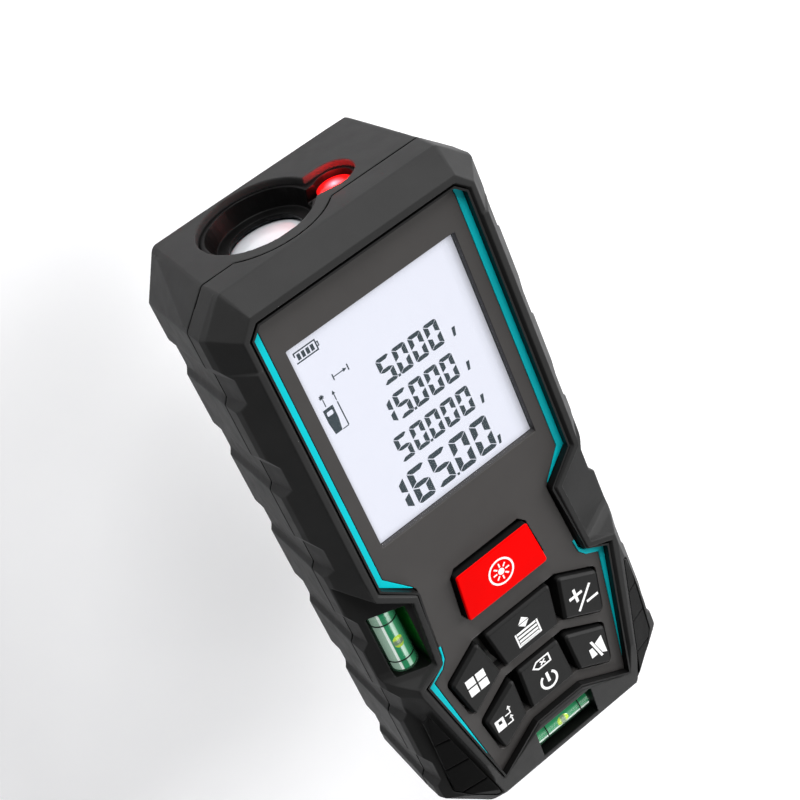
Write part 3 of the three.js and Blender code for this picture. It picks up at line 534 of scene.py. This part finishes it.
# Darker key sides: on the red key its own black body, on the black keys painted shade down their flanks.
KEY_FLANK = moulded("key_flank", srgb(13, 13, 13), 0.55, 0.2, 0.006)
INK = {
    "segments": moulded("segment_ink", srgb(40, 55, 62), 0.5, 0.3, 0.001),
    "white": moulded("print_white", srgb(244, 244, 244), 0.5, 0.3, 0.002, variation=0.02),
    # Black for the vials' printed rings, and as painted shade for the bead in the faceplate's moat.
    "black": moulded("print_and_shade_black", srgb(14, 14, 14), 0.4, 0.3, 0.002),
}

# ---- Pieces made from the CAD nodes ----

WELD_WITHIN = 0.004 * MM
LEAST_EDGE = 0.003 * MM
SAME_PLANE = math.radians(0.6)
KEY_TOP_FACES = 0.35

NODE_SLOT = {row["node"]: row["material_slot"] for row in frame["record"]["subparts"]}
NODE_BODY = {n: body for body, members in frame["record"]["behaviour"]["bodies"].items() for n in members}


def add_piece(name, shape, material, body):
    """A new object from a bmesh, on that CAD body."""
    mesh = bpy.data.meshes.new(name)
    bmesh.ops.recalc_face_normals(shape, faces=shape.faces)
    shape.to_mesh(mesh)
    shape.free()
    mesh.materials.append(material)
    piece = bpy.data.objects.new(name, mesh)
    bpy.context.scene.collection.objects.link(piece)
    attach(piece, body)
    return piece


def smooth(piece, angle=38):
    """Soft shading across small turns, with flat faces kept flat."""
    piece.data.shade_smooth()
    piece.data.set_sharp_from_angle(angle=math.radians(angle))
    weighted = piece.modifiers.new("weighted", "WEIGHTED_NORMAL")
    weighted.keep_sharp = True
    return piece


def node_shape(node):
    """The CAD node's solid with its split corners joined and its flat faces whole."""
    shape = bmesh.new()
    shape.from_mesh(NODES[node].data)
    bmesh.ops.remove_doubles(shape, verts=shape.verts, dist=WELD_WITHIN)
    bmesh.ops.dissolve_degenerate(shape, edges=shape.edges, dist=LEAST_EDGE)
    bmesh.ops.dissolve_limit(shape, verts=shape.verts, edges=shape.edges, angle_limit=SAME_PLANE)
    return shape


def soften(shape, width, segments, angle):
    """Rounds, by width mm, every edge that turns by more than angle degrees."""
    edges = [e for e in shape.edges if e.is_manifold and e.calc_face_angle(0) > math.radians(angle)]
    bmesh.ops.bevel(shape, geom=edges, offset=width * MM, offset_type="OFFSET", segments=segments,
                    profile=0.5, affect="EDGES", clamp_overlap=True)


def refine(node, width, segments=3, angle=25):
    """A piece that stands for the node, the same solid with rounded edges."""
    shape = node_shape(node)
    soften(shape, width, segments, angle)
    slot = NODE_SLOT[node]
    material = OWN_LOOK.get(node, MATERIALS[slot])
    piece = add_piece(f"{node}_body", shape, material, NODE_BODY[node])
    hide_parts(node)
    # Faces that don't face up take KEY_FLANK, which is painted shade on the black keys' sides.
    if node.startswith("key_"):
        piece.data.materials.append(KEY_FLANK)
        for face in piece.data.polygons:
            face.material_index = 0 if face.normal.z > KEY_TOP_FACES else 1
    return smooth(piece)


# The case's outline at heights in mm: its corners on the +X side from the lens end to the tail.
OUTLINE = (
    (0.0, (17.9, 55.4), (21.7, 48.3), (21.7, -50.2), (17.3, -55.2)),
    (0.8, (18.2, 56.0), (22.65, 48.6), (22.65, -50.6), (17.6, -56.0)),
    (18.8, (19.4, 56.0), (24.4, 51.1), (24.4, -47.7), (17.1, -56.0)),
    (22.4, (19.3, 56.0), (24.5, 51.0), (24.5, -47.6), (16.9, -56.0)),
    (23.6, (19.2, 56.0), (24.1, 51.1), (24.1, -47.5), (16.6, -55.3)),
    (28.4, (18.2, 52.8), (20.93, 50.05), (15.1, -50.2), (14.5, -51.0)),
)
CORNER_RADII = (1.7, 1.4, 1.4, 1.5)
TAIL_ROUNDED_BELOW = 24.0
SHORTEST_ARM = 1e-6


def round_corners(mesh):
    """Brings the shell's points in to a rounded upright corner wherever the CAD has a sharp one."""
    flat = numpy.empty(len(mesh.vertices) * 3)
    mesh.vertices.foreach_get("co", flat)
    points = flat.reshape(-1, 3) / MM
    side = numpy.where(points[:, 0] < 0, -1.0, 1.0)
    here = numpy.stack([points[:, 0] * side, points[:, 1]], 1)
    z = points[:, 2]
    heights = [row[0] for row in OUTLINE]
    corners = [numpy.stack([numpy.interp(z, heights, [row[i][axis] for row in OUTLINE]) for axis in (0, 1)], 1)
               for i in (1, 2, 3, 4)]
    lens_middle = corners[0] * (0, 1)
    tail_middle = corners[3] * (0, 1)
    path = [lens_middle, *corners, tail_middle]
    for i, radius in enumerate(CORNER_RADII, 1):
        inwards = []
        for start, end in ((path[i - 1], path[i]), (path[i], path[i + 1])):
            run = end - start
            run /= numpy.linalg.norm(run, axis=1, keepdims=True)
            inwards.append(numpy.stack([run[:, 1], -run[:, 0]], 1))
        first, second = inwards
        turn = first[:, 0] * second[:, 1] - first[:, 1] * second[:, 0]
        across = numpy.stack([second[:, 1] - first[:, 1], first[:, 0] - second[:, 0]], 1)
        centre = path[i] + radius / turn[:, None] * across
        arm = here - centre
        reach = numpy.linalg.norm(arm, axis=1)
        past_first = first[:, 0] * arm[:, 1] - first[:, 1] * arm[:, 0] >= 0
        past_second = arm[:, 0] * second[:, 1] - arm[:, 1] * second[:, 0] >= 0
        move = past_first & past_second & (reach > radius)
        if i > 2:
            move &= z < TAIL_ROUNDED_BELOW
        here[move] = (centre + arm * (radius / numpy.maximum(reach, SHORTEST_ARM))[:, None])[move]
    points[:, 0] = here[:, 0] * side
    points[:, 1] = here[:, 1]
    mesh.vertices.foreach_set("co", (points * MM).ravel())


def moulded_form(node, voxel, passes, keep):
    """A piece that stands for the node, with its corners melted as a mould and a soft skin leave them.

    The solid is rebuilt in cells of voxel mm, smoothed that many times, and thinned to a share of its faces."""
    slot = NODE_SLOT[node]
    rough = bpy.data.objects.new(f"{node}_rough", NODES[node].data.copy())
    bpy.context.scene.collection.objects.link(rough)
    rough.modifiers.new("weld", "WELD").merge_threshold = WELD_WITHIN
    remesh = rough.modifiers.new("remesh", "REMESH")
    remesh.mode = "VOXEL"
    remesh.voxel_size = voxel * MM
    relax = rough.modifiers.new("relax", "SMOOTH")
    relax.factor = 0.5
    relax.iterations = passes
    rough.modifiers.new("thin", "DECIMATE").ratio = keep
    evaluated = rough.evaluated_get(bpy.context.evaluated_depsgraph_get())
    mesh = bpy.data.meshes.new_from_object(evaluated)
    bpy.data.objects.remove(rough)
    mesh.name = f"{node}_body"
    if node in ("front_shell", "rear_shell"):
        round_corners(mesh)
    mesh.materials.clear()
    mesh.materials.append(MATERIALS[slot])
    mesh.shade_smooth()
    piece = bpy.data.objects.new(f"{node}_body", mesh)
    bpy.context.scene.collection.objects.link(piece)
    piece.modifiers.new("weighted", "WEIGHTED_NORMAL")
    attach(piece, NODE_BODY[node])
    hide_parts(node)
    return piece


# The cell size in mm, the smoothing passes and the share of faces kept for each piece that is rebuilt.
MOULDED = {
    "front_shell": (0.15, 2, 0.1), "rear_shell": (0.2, 3, 0.1), "faceplate": (0.12, 2, 0.06),
    "battery_cover": (0.15, 3, 0.1), "wedge_pad_right": (0.1, 2, 0.2), "wedge_pad_left": (0.1, 2, 0.2),
    "optics_bezel": (0.12, 2, 0.15),
}
# The width in mm by which the other visible pieces' edges are rounded. Hidden pieces get PLAIN_ROUNDING.
PLAIN_ROUNDING = {"width": 0.08, "segments": 2, "angle": 30}
ROUNDING = {
    "accent_upper_right": 0.1, "accent_upper_left": 0.1, "accent_lower_right": 0.1, "accent_lower_left": 0.1,
    "display_window": 0.12,
}
ROUNDING.update({node: 0.2 for node in NODES if node.startswith("key_")})

for node, (voxel, passes, keep) in MOULDED.items():
    moulded_form(node, voxel, passes, keep)
DRAWN_APART = {f"{vial}_{part}" for vial in ("side_vial", "end_vial") for part in ("tube", "liquid", "bubble")}
for node in NODES:
    if node in DRAWN_APART:
        continue
    if node in ROUNDING:
        refine(node, ROUNDING[node])
    elif node not in MOULDED:
        refine(node, **PLAIN_ROUNDING)

# ---- Printed and etched marks ----

def circle(x, y, radius, start=0, end=360, steps=40):
    """Points in mm round a circle or part of one, with its last point left off when it closes."""
    count = steps if end - start == 360 else steps + 1
    turns = [math.radians(start + (end - start) * i / steps) for i in range(count)]
    return [(x + radius * math.cos(t), y + radius * math.sin(t)) for t in turns]


def compass(angle):
    """The flat unit vector at that angle in degrees."""
    return Vector((math.cos(math.radians(angle)), math.sin(math.radians(angle))))


def block(x, y, width, height):
    """The corners of an upright rectangle from its lower left corner, in mm."""
    return [(x, y), (x + width, y), (x + width, y + height), (x, y + height)]


class Drawing:
    """Flat raised shapes between two heights, all in mm, that end up as one piece."""

    def __init__(self, low, high):
        self.shape = bmesh.new()
        self.low, self.high = low, high

    def fill(self, outline):
        """A raised area inside an outline of (x, y) points."""
        rails = [[self.shape.verts.new((x, y, z)) for x, y in outline] for z in (self.low, self.high)]
        self.shape.faces.new(rails[0][::-1])
        self.shape.faces.new(rails[1])
        self.join(rails, True)

    def join(self, rails, closed):
        """Walls between each two neighbouring rails of points."""
        count = len(rails[0])
        for lower, upper in zip(rails, rails[1:]):
            for i in range(count if closed else count - 1):
                j = (i + 1) % count
                self.shape.faces.new((lower[i], lower[j], upper[j], upper[i]))

    def stroke(self, points, width, closed=False, shift=0.0):
        """A raised line of that width through the points or shifted to their left, mitred where it turns."""
        points = [Vector(p) for p in points]
        corners = [[], [], [], []]
        for i, point in enumerate(points):
            turns = []
            if closed or i:
                turns.append((point - points[i - 1]).normalized())
            if closed or i < len(points) - 1:
                turns.append((points[(i + 1) % len(points)] - point).normalized())
            along = sum(turns, Vector((0, 0))).normalized()
            side = Vector((-along.y, along.x)) / max(0.4, along.dot(turns[0]))
            left, right = point + side * (shift + width / 2), point + side * (shift - width / 2)
            ends = ((left, self.low), (left, self.high), (right, self.high), (right, self.low))
            for rail, (place, height) in zip(corners, ends):
                rail.append(self.shape.verts.new((*place, height)))
        self.join(corners + corners[:1], closed)
        if not closed:
            self.shape.faces.new([rail[0] for rail in corners])
            self.shape.faces.new([rail[-1] for rail in corners])

    def piece(self, name, material, body):
        bmesh.ops.scale(self.shape, vec=(MM, MM, MM), verts=self.shape.verts)
        return add_piece(name, self.shape, material, body)


# Each bar of a digit as corners in shares of the digit's width and height. The other bars mirror these.
TOP_BAR = [(0.15, 1.0), (0.85, 1.0), (0.98, 0.955), (0.74, 0.855), (0.28, 0.855), (0.03, 0.955)]
SIDE_BAR = [(0.0, 0.935), (0.31, 0.815), (0.31, 0.61), (0.0, 0.52)]
MIDDLE_BAR = [(0.04, 0.5), (0.28, 0.565), (0.72, 0.565), (0.96, 0.5), (0.72, 0.435), (0.28, 0.435)]


def mirrored(bar, across=False, down=False):
    return [(1 - x if across else x, 1 - y if down else y) for x, y in bar]


BARS = {
    "top": TOP_BAR,
    "middle": MIDDLE_BAR,
    "bottom": mirrored(TOP_BAR, down=True),
    "upper_left": SIDE_BAR,
    "upper_right": mirrored(SIDE_BAR, across=True),
    "lower_left": mirrored(SIDE_BAR, down=True),
    "lower_right": mirrored(SIDE_BAR, True, True),
}
LIT = {
    "0": ["top", "upper_left", "upper_right", "lower_left", "lower_right", "bottom"],
    "1": ["upper_right", "lower_right"],
    "5": ["top", "upper_left", "middle", "lower_right", "bottom"],
    "6": ["top", "upper_left", "middle", "lower_left", "lower_right", "bottom"],
}
GLASS_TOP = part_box("lcd_glass")[1].z / MM
INK_SUNK, INK_RAISED = 0.02, 0.05
PRINT_SUNK, PRINT_RAISED = 0.05, 0.03

# A row of digits: its text, the left edge of its first digit, its foot, digit width and height, and pitch.
READINGS = [
    ("5.000", -3.70, 28.96, 2.40, 4.70, 2.98),
    ("15.000", -6.52, 22.40, 2.40, 4.70, 2.98),
    ("50.000", -6.27, 15.85, 2.40, 4.70, 2.98),
    ("165.00", -10.80, 7.60, 3.28, 6.45, 4.10),
]
POINT_SIZE = 0.42
# The slanted mark after each reading, in place of its unit, and where it starts.
PRIME = [(0.0, 0.0), (0.42, 0.0), (0.75, 1.5), (0.15, 1.5)]
PRIME_X = 9.3


def display_readings():
    """The four readings in seven-bar digits, each with a plain mark after it."""
    for number, (text, left, foot, width, height, pitch) in enumerate(READINGS, 1):
        row = Drawing(GLASS_TOP - INK_SUNK, GLASS_TOP + INK_RAISED)
        x = left
        for mark in text:
            if mark == ".":
                row.fill(block(x - (pitch - width + POINT_SIZE) / 2, foot, POINT_SIZE, POINT_SIZE))
                continue
            for bar in LIT[mark]:
                row.fill([(x + u * width, foot + v * height) for u, v in BARS[bar]])
            x += pitch
        row.fill([(PRIME_X + u, foot + v) for u, v in PRIME])
        row.piece(f"display_reading_{number}", INK["segments"], "case")


def display_symbols():
    """The battery gauge, the distance arrow and the meter with its beam and span."""
    marks = Drawing(GLASS_TOP - INK_SUNK, GLASS_TOP + INK_RAISED)
    marks.stroke([(-14.35, 42.73), (-10.55, 42.73), (-10.55, 41.0), (-14.35, 41.0)], 0.2)
    marks.stroke([(-14.25, 42.63), (-14.25, 42.1)], 0.2)
    marks.stroke([(-10.45, 42.2), (-10.22, 42.2), (-10.22, 41.53), (-10.45, 41.53)], 0.16)
    for i in range(4):
        marks.fill(block(-13.9 + 0.79 * i, 41.33, 0.54, 1.04))
    for x in (-10.39, -7.74):
        marks.stroke([(x, 36.23), (x, 35.17)], 0.2)
    marks.stroke([(-10.25, 35.7), (-8.6, 35.7)], 0.15)
    marks.fill([(-8.62, 36.02), (-8.62, 35.38), (-7.97, 35.7)])
    marks.stroke([(-13.32, 33.55), (-13.32, 32.3)], 0.14)
    spark = Vector((-13.36, 34.05))
    for i in range(4):
        reach = compass(45 * i) * 0.42
        marks.stroke([spark - reach, spark + reach], 0.16)
    for side in (-1, 1):
        body = [(0.0, 31.95), (0.88, 31.95), (0.88, 29.6), (0.6, 27.4), (0.0, 27.4), (0.0, 30.6), (0.42, 30.6),
                (0.53, 30.75), (0.53, 31.25), (0.42, 31.4), (0.0, 31.4)]
        marks.fill([(-13.16 + side * x, y) for x, y in body[::side]])
    marks.stroke([(-11.35, 27.5), (-11.42, 31.9)], 0.18)
    marks.stroke([(-11.42, 32.2), (-11.42, 33.4)], 0.15)
    marks.fill([(-11.7, 33.35), (-11.14, 33.35), (-11.42, 33.97)])
    marks.stroke([(-12.4, 27.42), (-11.35, 27.42)], 0.14)
    marks.piece("display_symbols", INK["segments"], "case")


display_readings()
display_symbols()


def arced(corners, steps=6):
    """The corners (x, y) or (x, y, radius) in mm, with those that have a radius turned into arcs."""
    points = []
    for i, (x, y, *radius) in enumerate(corners):
        corner = Vector((x, y))
        if not radius:
            points.append(corner)
            continue
        back = (Vector(corners[i - 1][:2]) - corner).normalized()
        ahead = (Vector(corners[(i + 1) % len(corners)][:2]) - corner).normalized()
        half = back.angle(ahead) / 2
        centre = corner + (back + ahead).normalized() * radius[0] / math.sin(half)
        first = corner + back * radius[0] / math.tan(half) - centre
        last = corner + ahead * radius[0] / math.tan(half) - centre
        for step in range(steps + 1):
            points.append(centre + first.slerp(last, step / steps))
    return points


BEAD_HEIGHTS = (26.0, 28.1)
BEAD_WIDTH, BEAD_SHIFT = 0.34, -0.2


def moat_shade_bead():
    """A black bead put in the moat between the faceplate and the case's rim as painted shade, standing for the
    shadow in that gap.
    """
    half = [(17.36, 50.84), (19.0, 49.24), (19.0, 0.51), (13.4, -4.3, 1.2), (14.65, -19.64, 1.6),
            (18.98, -21.46), (13.98, -47.83), (4.99, -42.77)]
    corners = [(-x, *rest) for x, *rest in half] + half[::-1]
    bead = Drawing(*BEAD_HEIGHTS)
    bead.stroke(arced(corners), BEAD_WIDTH, closed=True, shift=BEAD_SHIFT)
    bead.piece("moat_shade_bead", INK["black"], "case")


moat_shade_bead()


def key_print(node, name):
    """A drawing that lies on top of that key and moves with it."""
    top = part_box(node)[1].z / MM
    marks = Drawing(top - PRINT_SUNK, top + PRINT_RAISED)
    return marks, lambda: marks.piece(name, INK["white"], NODE_BODY[node])


def print_keys():
    """The white symbols on the seven keys."""
    marks, done = key_print("key_measure", "symbol_measure")
    middle = Vector((0.08, -11.4))
    marks.stroke(circle(*middle, 2.3), 0.34, closed=True)
    marks.fill(circle(*middle, 0.6, steps=24))
    for i in range(8):
        marks.stroke([middle + compass(45 * i) * reach for reach in (0.85, 1.6)], 0.26)
    done()

    marks, done = key_print("key_modes", "symbol_modes")
    for x in (-13.42, -11.32):
        for y in (-29.12, -27.17):
            marks.fill(block(x, y, 1.76, 1.62))
    done()

    marks, done = key_print("key_list", "symbol_list")
    marks.fill([(-0.97, -23.12), (1.13, -23.12), (0.08, -22.08)])
    marks.fill([(-0.97, -23.3), (0.08, -24.32), (1.13, -23.3)])
    marks.stroke([(-2.18, -24.5), (-2.18, -27.2), (2.34, -27.2), (2.34, -24.5)], 0.32)
    for y, height in ((-24.95, 0.42), (-25.72, 0.44), (-26.48, 0.44), (-27.15, 0.42)):
        marks.fill(block(-1.9, y, 3.96, height))
    done()

    marks, done = key_print("key_plus_minus", "symbol_plus_minus")
    marks.fill([(9.02, -26.38), (10.1, -26.38), (10.1, -27.5), (10.64, -27.5), (10.64, -26.38),
                (11.74, -26.38), (11.74, -25.83), (10.64, -25.83), (10.64, -24.7), (10.1, -24.7),
                (10.1, -25.83), (9.02, -25.83)])
    marks.stroke([(9.98, -29.42), (13.52, -25.72)], 0.46)
    marks.stroke([(11.88, -28.72), (14.32, -28.72)], 0.5)
    done()

    marks, done = key_print("key_unit", "symbol_unit")
    marks.fill([(-11.9, -36.9), (-11.9, -39.3), (-10.04, -39.3), (-10.04, -36.9), (-10.97, -36.9),
                (-10.97, -37.35), (-10.55, -37.35), (-10.55, -38.1), (-11.25, -38.1), (-11.25, -37.35),
                (-11.0, -37.35), (-11.0, -36.9)])
    for left, right, foot, tip in ((-9.85, -8.68, -39.15, -37.65), (-9.7, -8.55, -37.25, -35.65)):
        marks.stroke([(left, foot), (right, foot), (right, tip - 0.5)], 0.24)
        marks.fill([(right - 0.42, tip - 0.62), (right + 0.42, tip - 0.62), (right, tip)])
    done()

    marks, done = key_print("key_power", "symbol_power")
    marks.stroke(circle(0.1, -37.2, 1.6, 127, 413), 0.46)
    marks.stroke([(0.1, -35.48), (0.1, -37.5)], 0.56)
    tag = [(-1.75, -33.0), (-0.85, -32.2), (1.75, -32.2), (1.75, -33.8), (-0.85, -33.8)]
    marks.stroke(tag, 0.3, closed=True)
    marks.stroke([(-0.2, -33.4), (0.8, -32.6)], 0.26)
    marks.stroke([(-0.2, -32.6), (0.17, -32.9)], 0.26)
    marks.stroke([(0.43, -33.1), (0.8, -33.4)], 0.26)
    done()

    marks, done = key_print("key_mute", "symbol_mute")
    marks.fill([(8.75, -39.9), (8.75, -37.95), (9.5, -37.95), (9.98, -39.9)])
    marks.fill([(10.2, -37.5), (10.98, -40.2), (11.83, -40.75), (11.83, -36.8)])
    marks.fill([(9.4, -36.65), (9.88, -36.65), (10.98, -40.8), (10.5, -40.8)])
    done()


print_keys()

# ---- Vials and optics ----

def turned(name, centre, axis, profile, material, body, steps=56):
    """A round piece: a profile of (along, radius) in mm turned about a line through centre along X, Y or Z."""
    shape = bmesh.new()
    main = "XYZ".index(axis)
    first, second = [i for i in range(3) if i != main]
    rails = []
    for along, radius in profile:
        rail = []
        for i in range(steps if radius else 1):
            turn = 2 * math.pi * i / steps
            place = Vector(centre)
            place[main] += along
            place[first] += radius * math.cos(turn)
            place[second] += radius * math.sin(turn)
            rail.append(shape.verts.new(place * MM))
        rails.append(rail)
    for lower, upper in zip(rails, rails[1:] + rails[:1]):
        if len(lower) == len(upper) == 1:
            continue
        for i in range(steps):
            j = (i + 1) % steps
            loop = [lower[i % len(lower)], lower[j % len(lower)], upper[j % len(upper)], upper[i % len(upper)]]
            shape.faces.new(list(dict.fromkeys(loop)))
    return smooth(add_piece(name, shape, material, body))


# Each vial's axis, and in mm: its middle, half its length, where its rings lie along it, and its bubble's
# place on that axis. Then the sizes that both vials share.
VIALS = {
    "side_vial": {
        "axis": "Y", "centre": (-19.2, -12.0, 22.9), "half": 6.2, "rings": (-3.9, 4.1), "bubble": -12.3,
    },
    "end_vial": {
        "axis": "X", "centre": (0.0, -48.3, 24.2), "half": 5.95, "rings": (-3.6, 3.7), "bubble": 0.0,
    },
}
TUBE_RADIUS, SPIRIT_RADIUS = 2.4, 2.12
TUBE_CORNER, TUBE_WALL_END = 0.15, 0.25
RING_HALF, RING_PROUD, RING_SUNK = 0.1, 0.03, 0.08
BUBBLE_HALF, BUBBLE_RADIUS, BUBBLE_RISE, BUBBLE_FLATNESS = 1.5, 0.95, 1.85, 0.48
BUBBLE_STEPS = 12


def fit_vial(prefix, axis, centre, half, rings, bubble):
    """A vial as it is seen: spirit in a clear tube from wall to wall, two black rings and a long bubble."""
    ends = [(-half, 0), (-half, TUBE_RADIUS - TUBE_CORNER), (-half + TUBE_CORNER, TUBE_RADIUS)]
    tube = ends + [(-a, r) for a, r in ends[::-1]]
    tube = turned(f"{prefix}_tube_body", centre, axis, tube, MATERIALS["vial_clear"], "case")
    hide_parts(f"{prefix}_tube")
    inner = half - TUBE_WALL_END
    profile = [(-inner, 0), (-inner, SPIRIT_RADIUS), (inner, SPIRIT_RADIUS), (inner, 0)]
    look = OWN_LOOK.get(f"{prefix}_liquid", MATERIALS["vial_liquid"])
    spirit = turned(f"{prefix}_liquid_body", centre, axis, profile, look, "case")
    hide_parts(f"{prefix}_liquid")
    outer, sunk = TUBE_RADIUS + RING_PROUD, TUBE_RADIUS - RING_SUNK
    for number, place in enumerate(rings, 1):
        first, last = place - RING_HALF, place + RING_HALF
        band = [(first, sunk), (first, outer), (last, outer), (last, sunk)]
        turned(f"{prefix}_ring_{number}", centre, axis, band, INK["black"], "case")
    top = Vector(centre)
    top["XYZ".index(axis)] = bubble
    top.z += BUBBLE_RISE
    turns = [math.pi * i / BUBBLE_STEPS for i in range(BUBBLE_STEPS + 1)]
    profile = [(-BUBBLE_HALF * math.cos(t), BUBBLE_RADIUS * math.sin(t)) for t in turns]
    profile[0], profile[-1] = (-BUBBLE_HALF, 0), (BUBBLE_HALF, 0)
    look = OWN_LOOK.get(f"{prefix}_bubble", MATERIALS["bubble"])
    node = f"{prefix}_bubble"
    piece = turned(f"{prefix}_bubble_body", top, axis, profile, look, NODE_BODY[node], 32)
    for vertex in piece.data.vertices:
        vertex.co.z = top.z * MM + (vertex.co.z - top.z * MM) * BUBBLE_FLATNESS
    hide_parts(node)


for prefix, plan in VIALS.items():
    fit_vial(prefix, **plan)

# The aperture window over the laser lens, a shallow dome lit from behind.
EMITTER = (6.9, 54.0, 13.3)
turned("laser_aperture_glow", EMITTER, "Y", [(-0.8, 0), (-0.8, 2.7), (0.0, 2.9), (0.35, 1.9), (0.5, 0)],
       OWN_LOOK["laser_lens"], "case")

# ---- Render set-up ----

bpy.context.scene.view_settings.view_transform = "Standard"
add_camera()
add_floor(moulded("floor_pale", srgb(238, 238, 240), 0.7, 4.0, 0.02, variation=0.01))
add_world((1.0, 1.0, 1.0), strength=0.07)
add_lamp("key_lamp", azimuth=100, elevation=27, distance=0.7, size=0.55, power=7.5)
add_lamp("front_lamp", azimuth=176, elevation=21, distance=0.7, size=0.45, power=5.6)
add_lamp("high_lamp", azimuth=20, elevation=60, distance=0.7, size=0.45, power=1.0)
add_lamp("tail_lamp", azimuth=12, elevation=13, distance=0.8, size=0.4, power=2.5)
add_glow("laser_glow", (6.9, 55.3, 13.3), radius=1.0, power=0.005, colour=(1.0, 0.02, 0.02))
